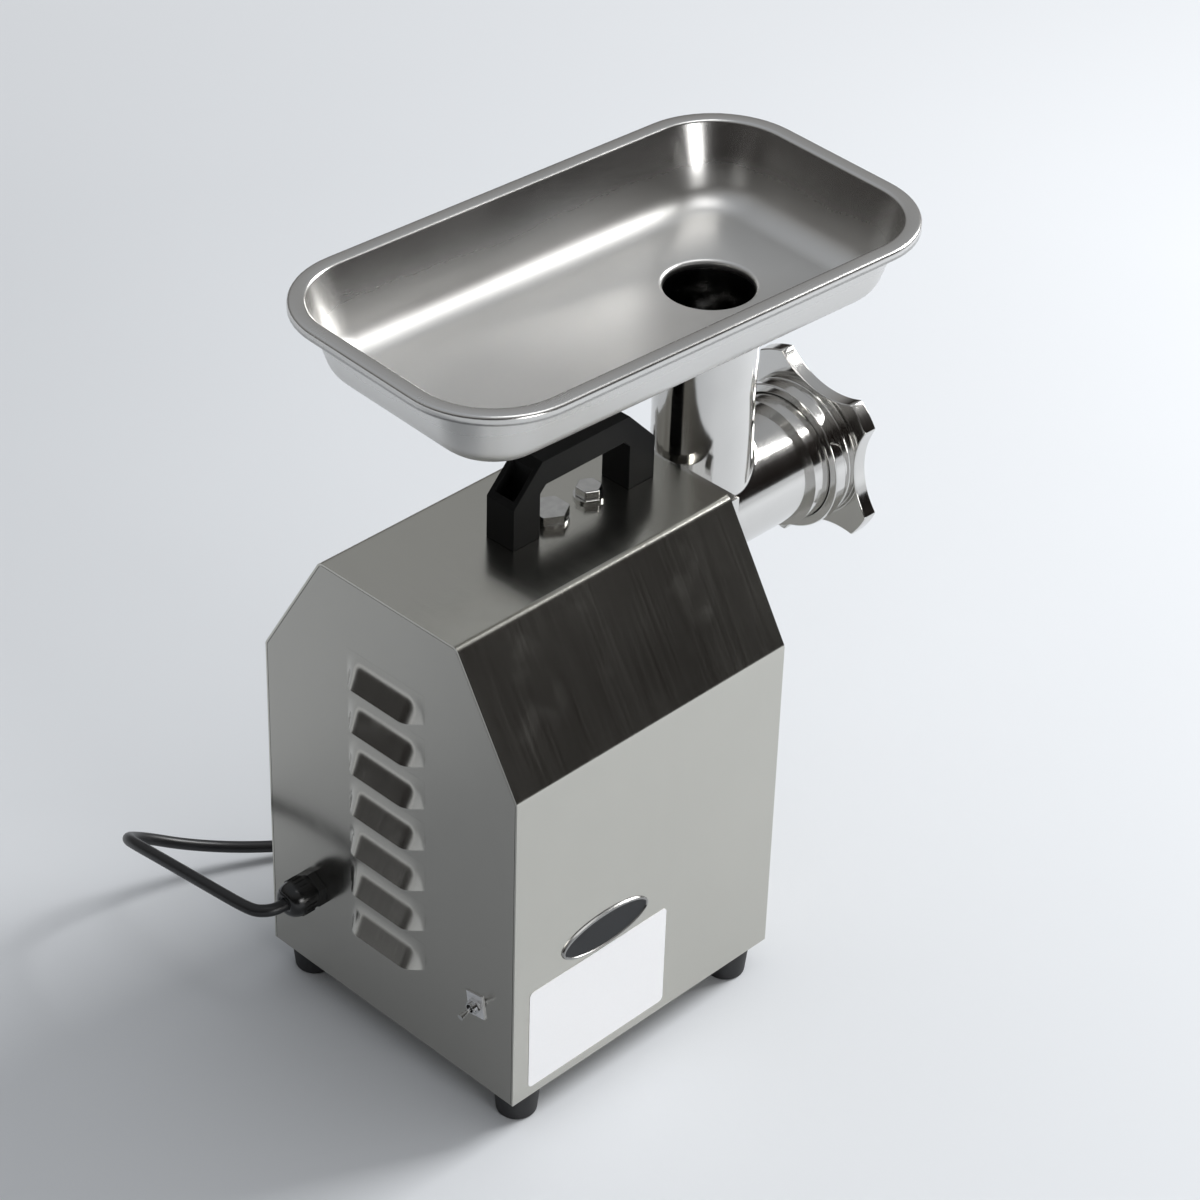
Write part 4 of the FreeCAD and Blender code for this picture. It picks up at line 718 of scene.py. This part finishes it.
class GRINDER_OT_head(bpy.types.Operator):
    """Polished grinding head, ring nut and cutting set"""

    bl_idname = "grinder.head"
    bl_label = "Grinding head"

    def execute(self, context):
        polish = colours().polish
        cast = polished_casting("head_polish", polish, stretch=(30, 900, 30))
        rounded("polished_head", "grinder_head", cast, "chassis", width=0.0008)
        bright = polished_casting("nut_polish", polish, stretch=(60, 1200, 60))
        rounded("polished_nut", "ring_nut", bright, "nut", width=0.0009)
        paint(polished_casting("auger_polish", polish, stretch=(40, 900, 40)), "auger")
        cutter = plated_steel("cutter_steel", colours().cutter, rough=0.28)
        paint(cutter, "knife", "grinding_plate", "plate_key")
        return {"FINISHED"}


class GRINDER_OT_handle(bpy.types.Operator):
    """Moulded carry handle"""

    bl_idname = "grinder.handle"
    bl_label = "Carry handle"

    def execute(self, context):
        plastic = moulded_plastic("handle_plastic", colours().plastic)
        rounded("moulded_handle", "carry_handle", plastic, "chassis", sizes().edge_round)
        return {"FINISHED"}


class GRINDER_OT_fittings(bpy.types.Operator):
    """Fasteners, gland, switch and feet"""

    bl_idname = "grinder.fittings"
    bl_label = "Fittings"

    def execute(self, context):
        bolts = plated_steel("bolt_plating", colours().plating)
        rounded("domed_top_bolt", "top_bolt", bolts, "chassis", width=0.0006)
        rounded("domed_oil_plug", "oil_plug", bolts, "chassis", width=0.0007)
        paint(bolts, "top_washer", "head_bolts", "foot_screws", "foot_nuts", "handle_screws")
        gloss = moulded_plastic("gland_plastic", colours().plastic, rough=0.14, gloss=0.5)
        paint(gloss, "gland_nut")
        self.gland(gloss)
        chrome = plated_steel("switch_chrome", colours().chrome, rough=0.10)
        paint(chrome, "switch_nut", "switch_lever")
        paint(plated_steel("switch_label", colours().switch_plate, rough=0.35), "switch_plate")
        self.switch_bush(moulded_plastic("switch_case", colours().plastic, rough=0.35), chrome)
        rubber = soft_rubber("foot_rubber", colours().rubber)
        for name in ("front_left", "front_right", "rear_left", "rear_right"):
            rounded("rubber_foot_" + name, "foot_" + name, rubber, "chassis", width=0.0012)
        return {"FINISHED"}

    def switch_bush(self, case, chrome):
        """The switch's case is plastic behind the panel, and its bush is bright outside it."""
        paint(case, "switch_body")
        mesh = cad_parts["switch_body"].data
        mesh.materials.append(chrome)
        panel_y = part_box("wrap_cover")[1].y
        for face in mesh.polygons:
            face.material_index = int(face.center.y > panel_y)

    def gland(self, material):
        """Cord gland: hexagon base, ribbed cap and rounded nose about the cord."""
        low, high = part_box("cable_gland")
        face_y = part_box("wrap_cover")[1].y
        centre = Vector(((low.x + high.x) / 2, face_y, (low.z + high.z) / 2))
        outer = (high.x - low.x) / 2
        size = sizes()
        form = bmesh.new()
        made = bmesh.ops.create_cone(form, cap_ends=True, segments=6, radius1=outer, radius2=outer,
                                     depth=GLAND_BASE)["verts"]
        bmesh.ops.rotate(form, cent=(0, 0, 0), matrix=QUARTER_TURN, verts=made)
        bmesh.ops.translate(form, vec=centre + Vector((0, GLAND_BASE / 2, 0)), verts=made)
        turned(form, GLAND_CAP, centre, steps=64)
        for i in range(size.rib_count):
            made = bmesh.ops.create_cube(form, size=1)["verts"]
            bmesh.ops.scale(form, vec=(size.rib_thick, size.rib_long, size.rib_thick), verts=made)
            bmesh.ops.translate(form, vec=centre + Vector((0, size.rib_y, size.rib_out)), verts=made)
            turn = Matrix.Rotation(2 * math.pi * i / size.rib_count, 3, "Y")
            bmesh.ops.rotate(form, cent=centre, matrix=turn, verts=made)
        gland = piece("ribbed_gland", form, material, "chassis", ("cable_gland",))
        soften(gland, width=0.0003, segments=2)


class GRINDER_OT_drive(bpy.types.Operator):
    """Motor and gearbox inside the housing"""

    bl_idname = "grinder.drive"
    bl_label = "Drive"

    def execute(self, context):
        tone = colours()
        paint(cast_metal("gearbox_casting", tone.casting), "gearbox_case", "gearbox_cover",
              "motor_front_bell", "motor_rear_bell", "motor_cradle")
        paint(cast_metal("shaft_steel", tone.shaft, rough=0.25), "output_shaft", "lay_shaft", "motor_shaft",
              "output_bearings", "lay_bearings", "motor_bearings", "cover_screws")
        paint(cast_metal("gear_steel", tone.gear, rough=0.32), "output_gear", "lay_pinion", "lay_gear",
              "motor_pinion")
        paint(cast_metal("lamination_steel", tone.lamination, rough=0.5), "motor_stator", "rotor_core",
              "motor_shell")
        paint(cast_metal("winding_copper", tone.copper, rough=0.3), "motor_windings")
        paint(moulded_plastic("fan_plastic", tone.plastic), "motor_fan")
        return {"FINISHED"}


class GRINDER_OT_cord(bpy.types.Operator):
    """Power cord from its gland to the tied coil and the plug"""

    bl_idname = "grinder.cord"
    bl_label = "Power cord"

    def execute(self, context):
        size = sizes()
        points = [Vector(point) * MM for point in CORD_ROUTE] + self.coil(size)
        data = bpy.data.curves.new("mains_flex", "CURVE")
        data.dimensions = "3D"
        data.bevel_depth = size.cord_radius
        data.bevel_resolution = 5
        data.use_fill_caps = True
        spline = data.splines.new("NURBS")
        spline.points.add(len(points) - 1)
        for knot, point in zip(spline.points, points):
            knot.co = (*point, 1)
        spline.order_u = 3
        spline.use_endpoint_u = True
        spline.resolution_u = 6
        flex = bpy.data.objects.new("mains_flex", data)
        data.materials.append(soft_rubber("flex_skin", colours().flex, rough=0.3))
        bpy.context.scene.collection.objects.link(flex)
        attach(flex, "chassis")
        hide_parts("power_cord", "cord_coil")
        paint(moulded_plastic("plug_plastic", colours().plastic, rough=0.32), "plug_body", "cord_tie")
        paint(plated_steel("pin_plating", colours().plating, rough=0.15), "plug_pins")
        return {"FINISHED"}

    def coil(self, size):
        """Points of the coil: inwards on the floor, up a layer, outwards, then straight to the plug."""
        turns, climb_turns, per_turn, tuck = 2.25, 0.5, 24, 0.0015
        inner = size.coil_radius - size.coil_step * turns
        total = 2 * turns + climb_turns
        points = []
        for i in range(round(total * per_turn) + 1):
            turn = i / per_turn
            climb = min(max((turn - turns) / climb_turns, 0), 1)
            wound = max(turns - turn, turn - turns - climb_turns, 0)
            radius = inner + size.coil_step * wound - tuck * math.sin(math.pi * climb)
            angle = math.pi + 2 * math.pi * turn
            rise = size.coil_step * (1 - math.cos(math.pi * climb)) / 2
            points.append(COIL_CENTRE + Vector((radius * math.cos(angle), radius * math.sin(angle), rise)))
        tail = points[-1]
        return points + [tail + Vector((0, -run, 0)) for run in COIL_TAIL]


class GRINDER_PT_panel(bpy.types.Panel):
    """Lists the grinder's operators, sizes and colours"""

    bl_idname = "GRINDER_PT_panel"
    bl_label = "Meat grinder"
    bl_space_type = "VIEW_3D"
    bl_region_type = "UI"
    bl_category = "Grinder"

    def draw(self, context):
        for operator in OPERATORS:
            self.layout.operator(operator.bl_idname)
        for group in (context.scene.grinder_sizes, context.scene.grinder_colours):
            box = self.layout.box()
            for name in group.__annotations__:
                box.prop(group, name)


OPERATORS = (GRINDER_OT_stage, GRINDER_OT_cord, GRINDER_OT_housing, GRINDER_OT_labels, GRINDER_OT_handle,
             GRINDER_OT_tray, GRINDER_OT_head, GRINDER_OT_fittings, GRINDER_OT_drive)
CLASSES = (GrinderSizes, GrinderColours, *OPERATORS, GRINDER_PT_panel)


def register():
    for item in CLASSES:
        bpy.utils.register_class(item)
    bpy.types.Scene.grinder_sizes = PointerProperty(type=GrinderSizes)
    bpy.types.Scene.grinder_colours = PointerProperty(type=GrinderColours)


def unregister():
    del bpy.types.Scene.grinder_colours
    del bpy.types.Scene.grinder_sizes
    for item in reversed(CLASSES):
        bpy.utils.unregister_class(item)


def main():
    register()
    bpy.ops.grinder.stage()
    bpy.ops.grinder.cord()
    bpy.ops.grinder.housing()
    bpy.ops.grinder.labels()
    bpy.ops.grinder.handle()
    bpy.ops.grinder.tray()
    bpy.ops.grinder.head()
    bpy.ops.grinder.fittings()
    bpy.ops.grinder.drive()


if __name__ == "__main__":
    main()
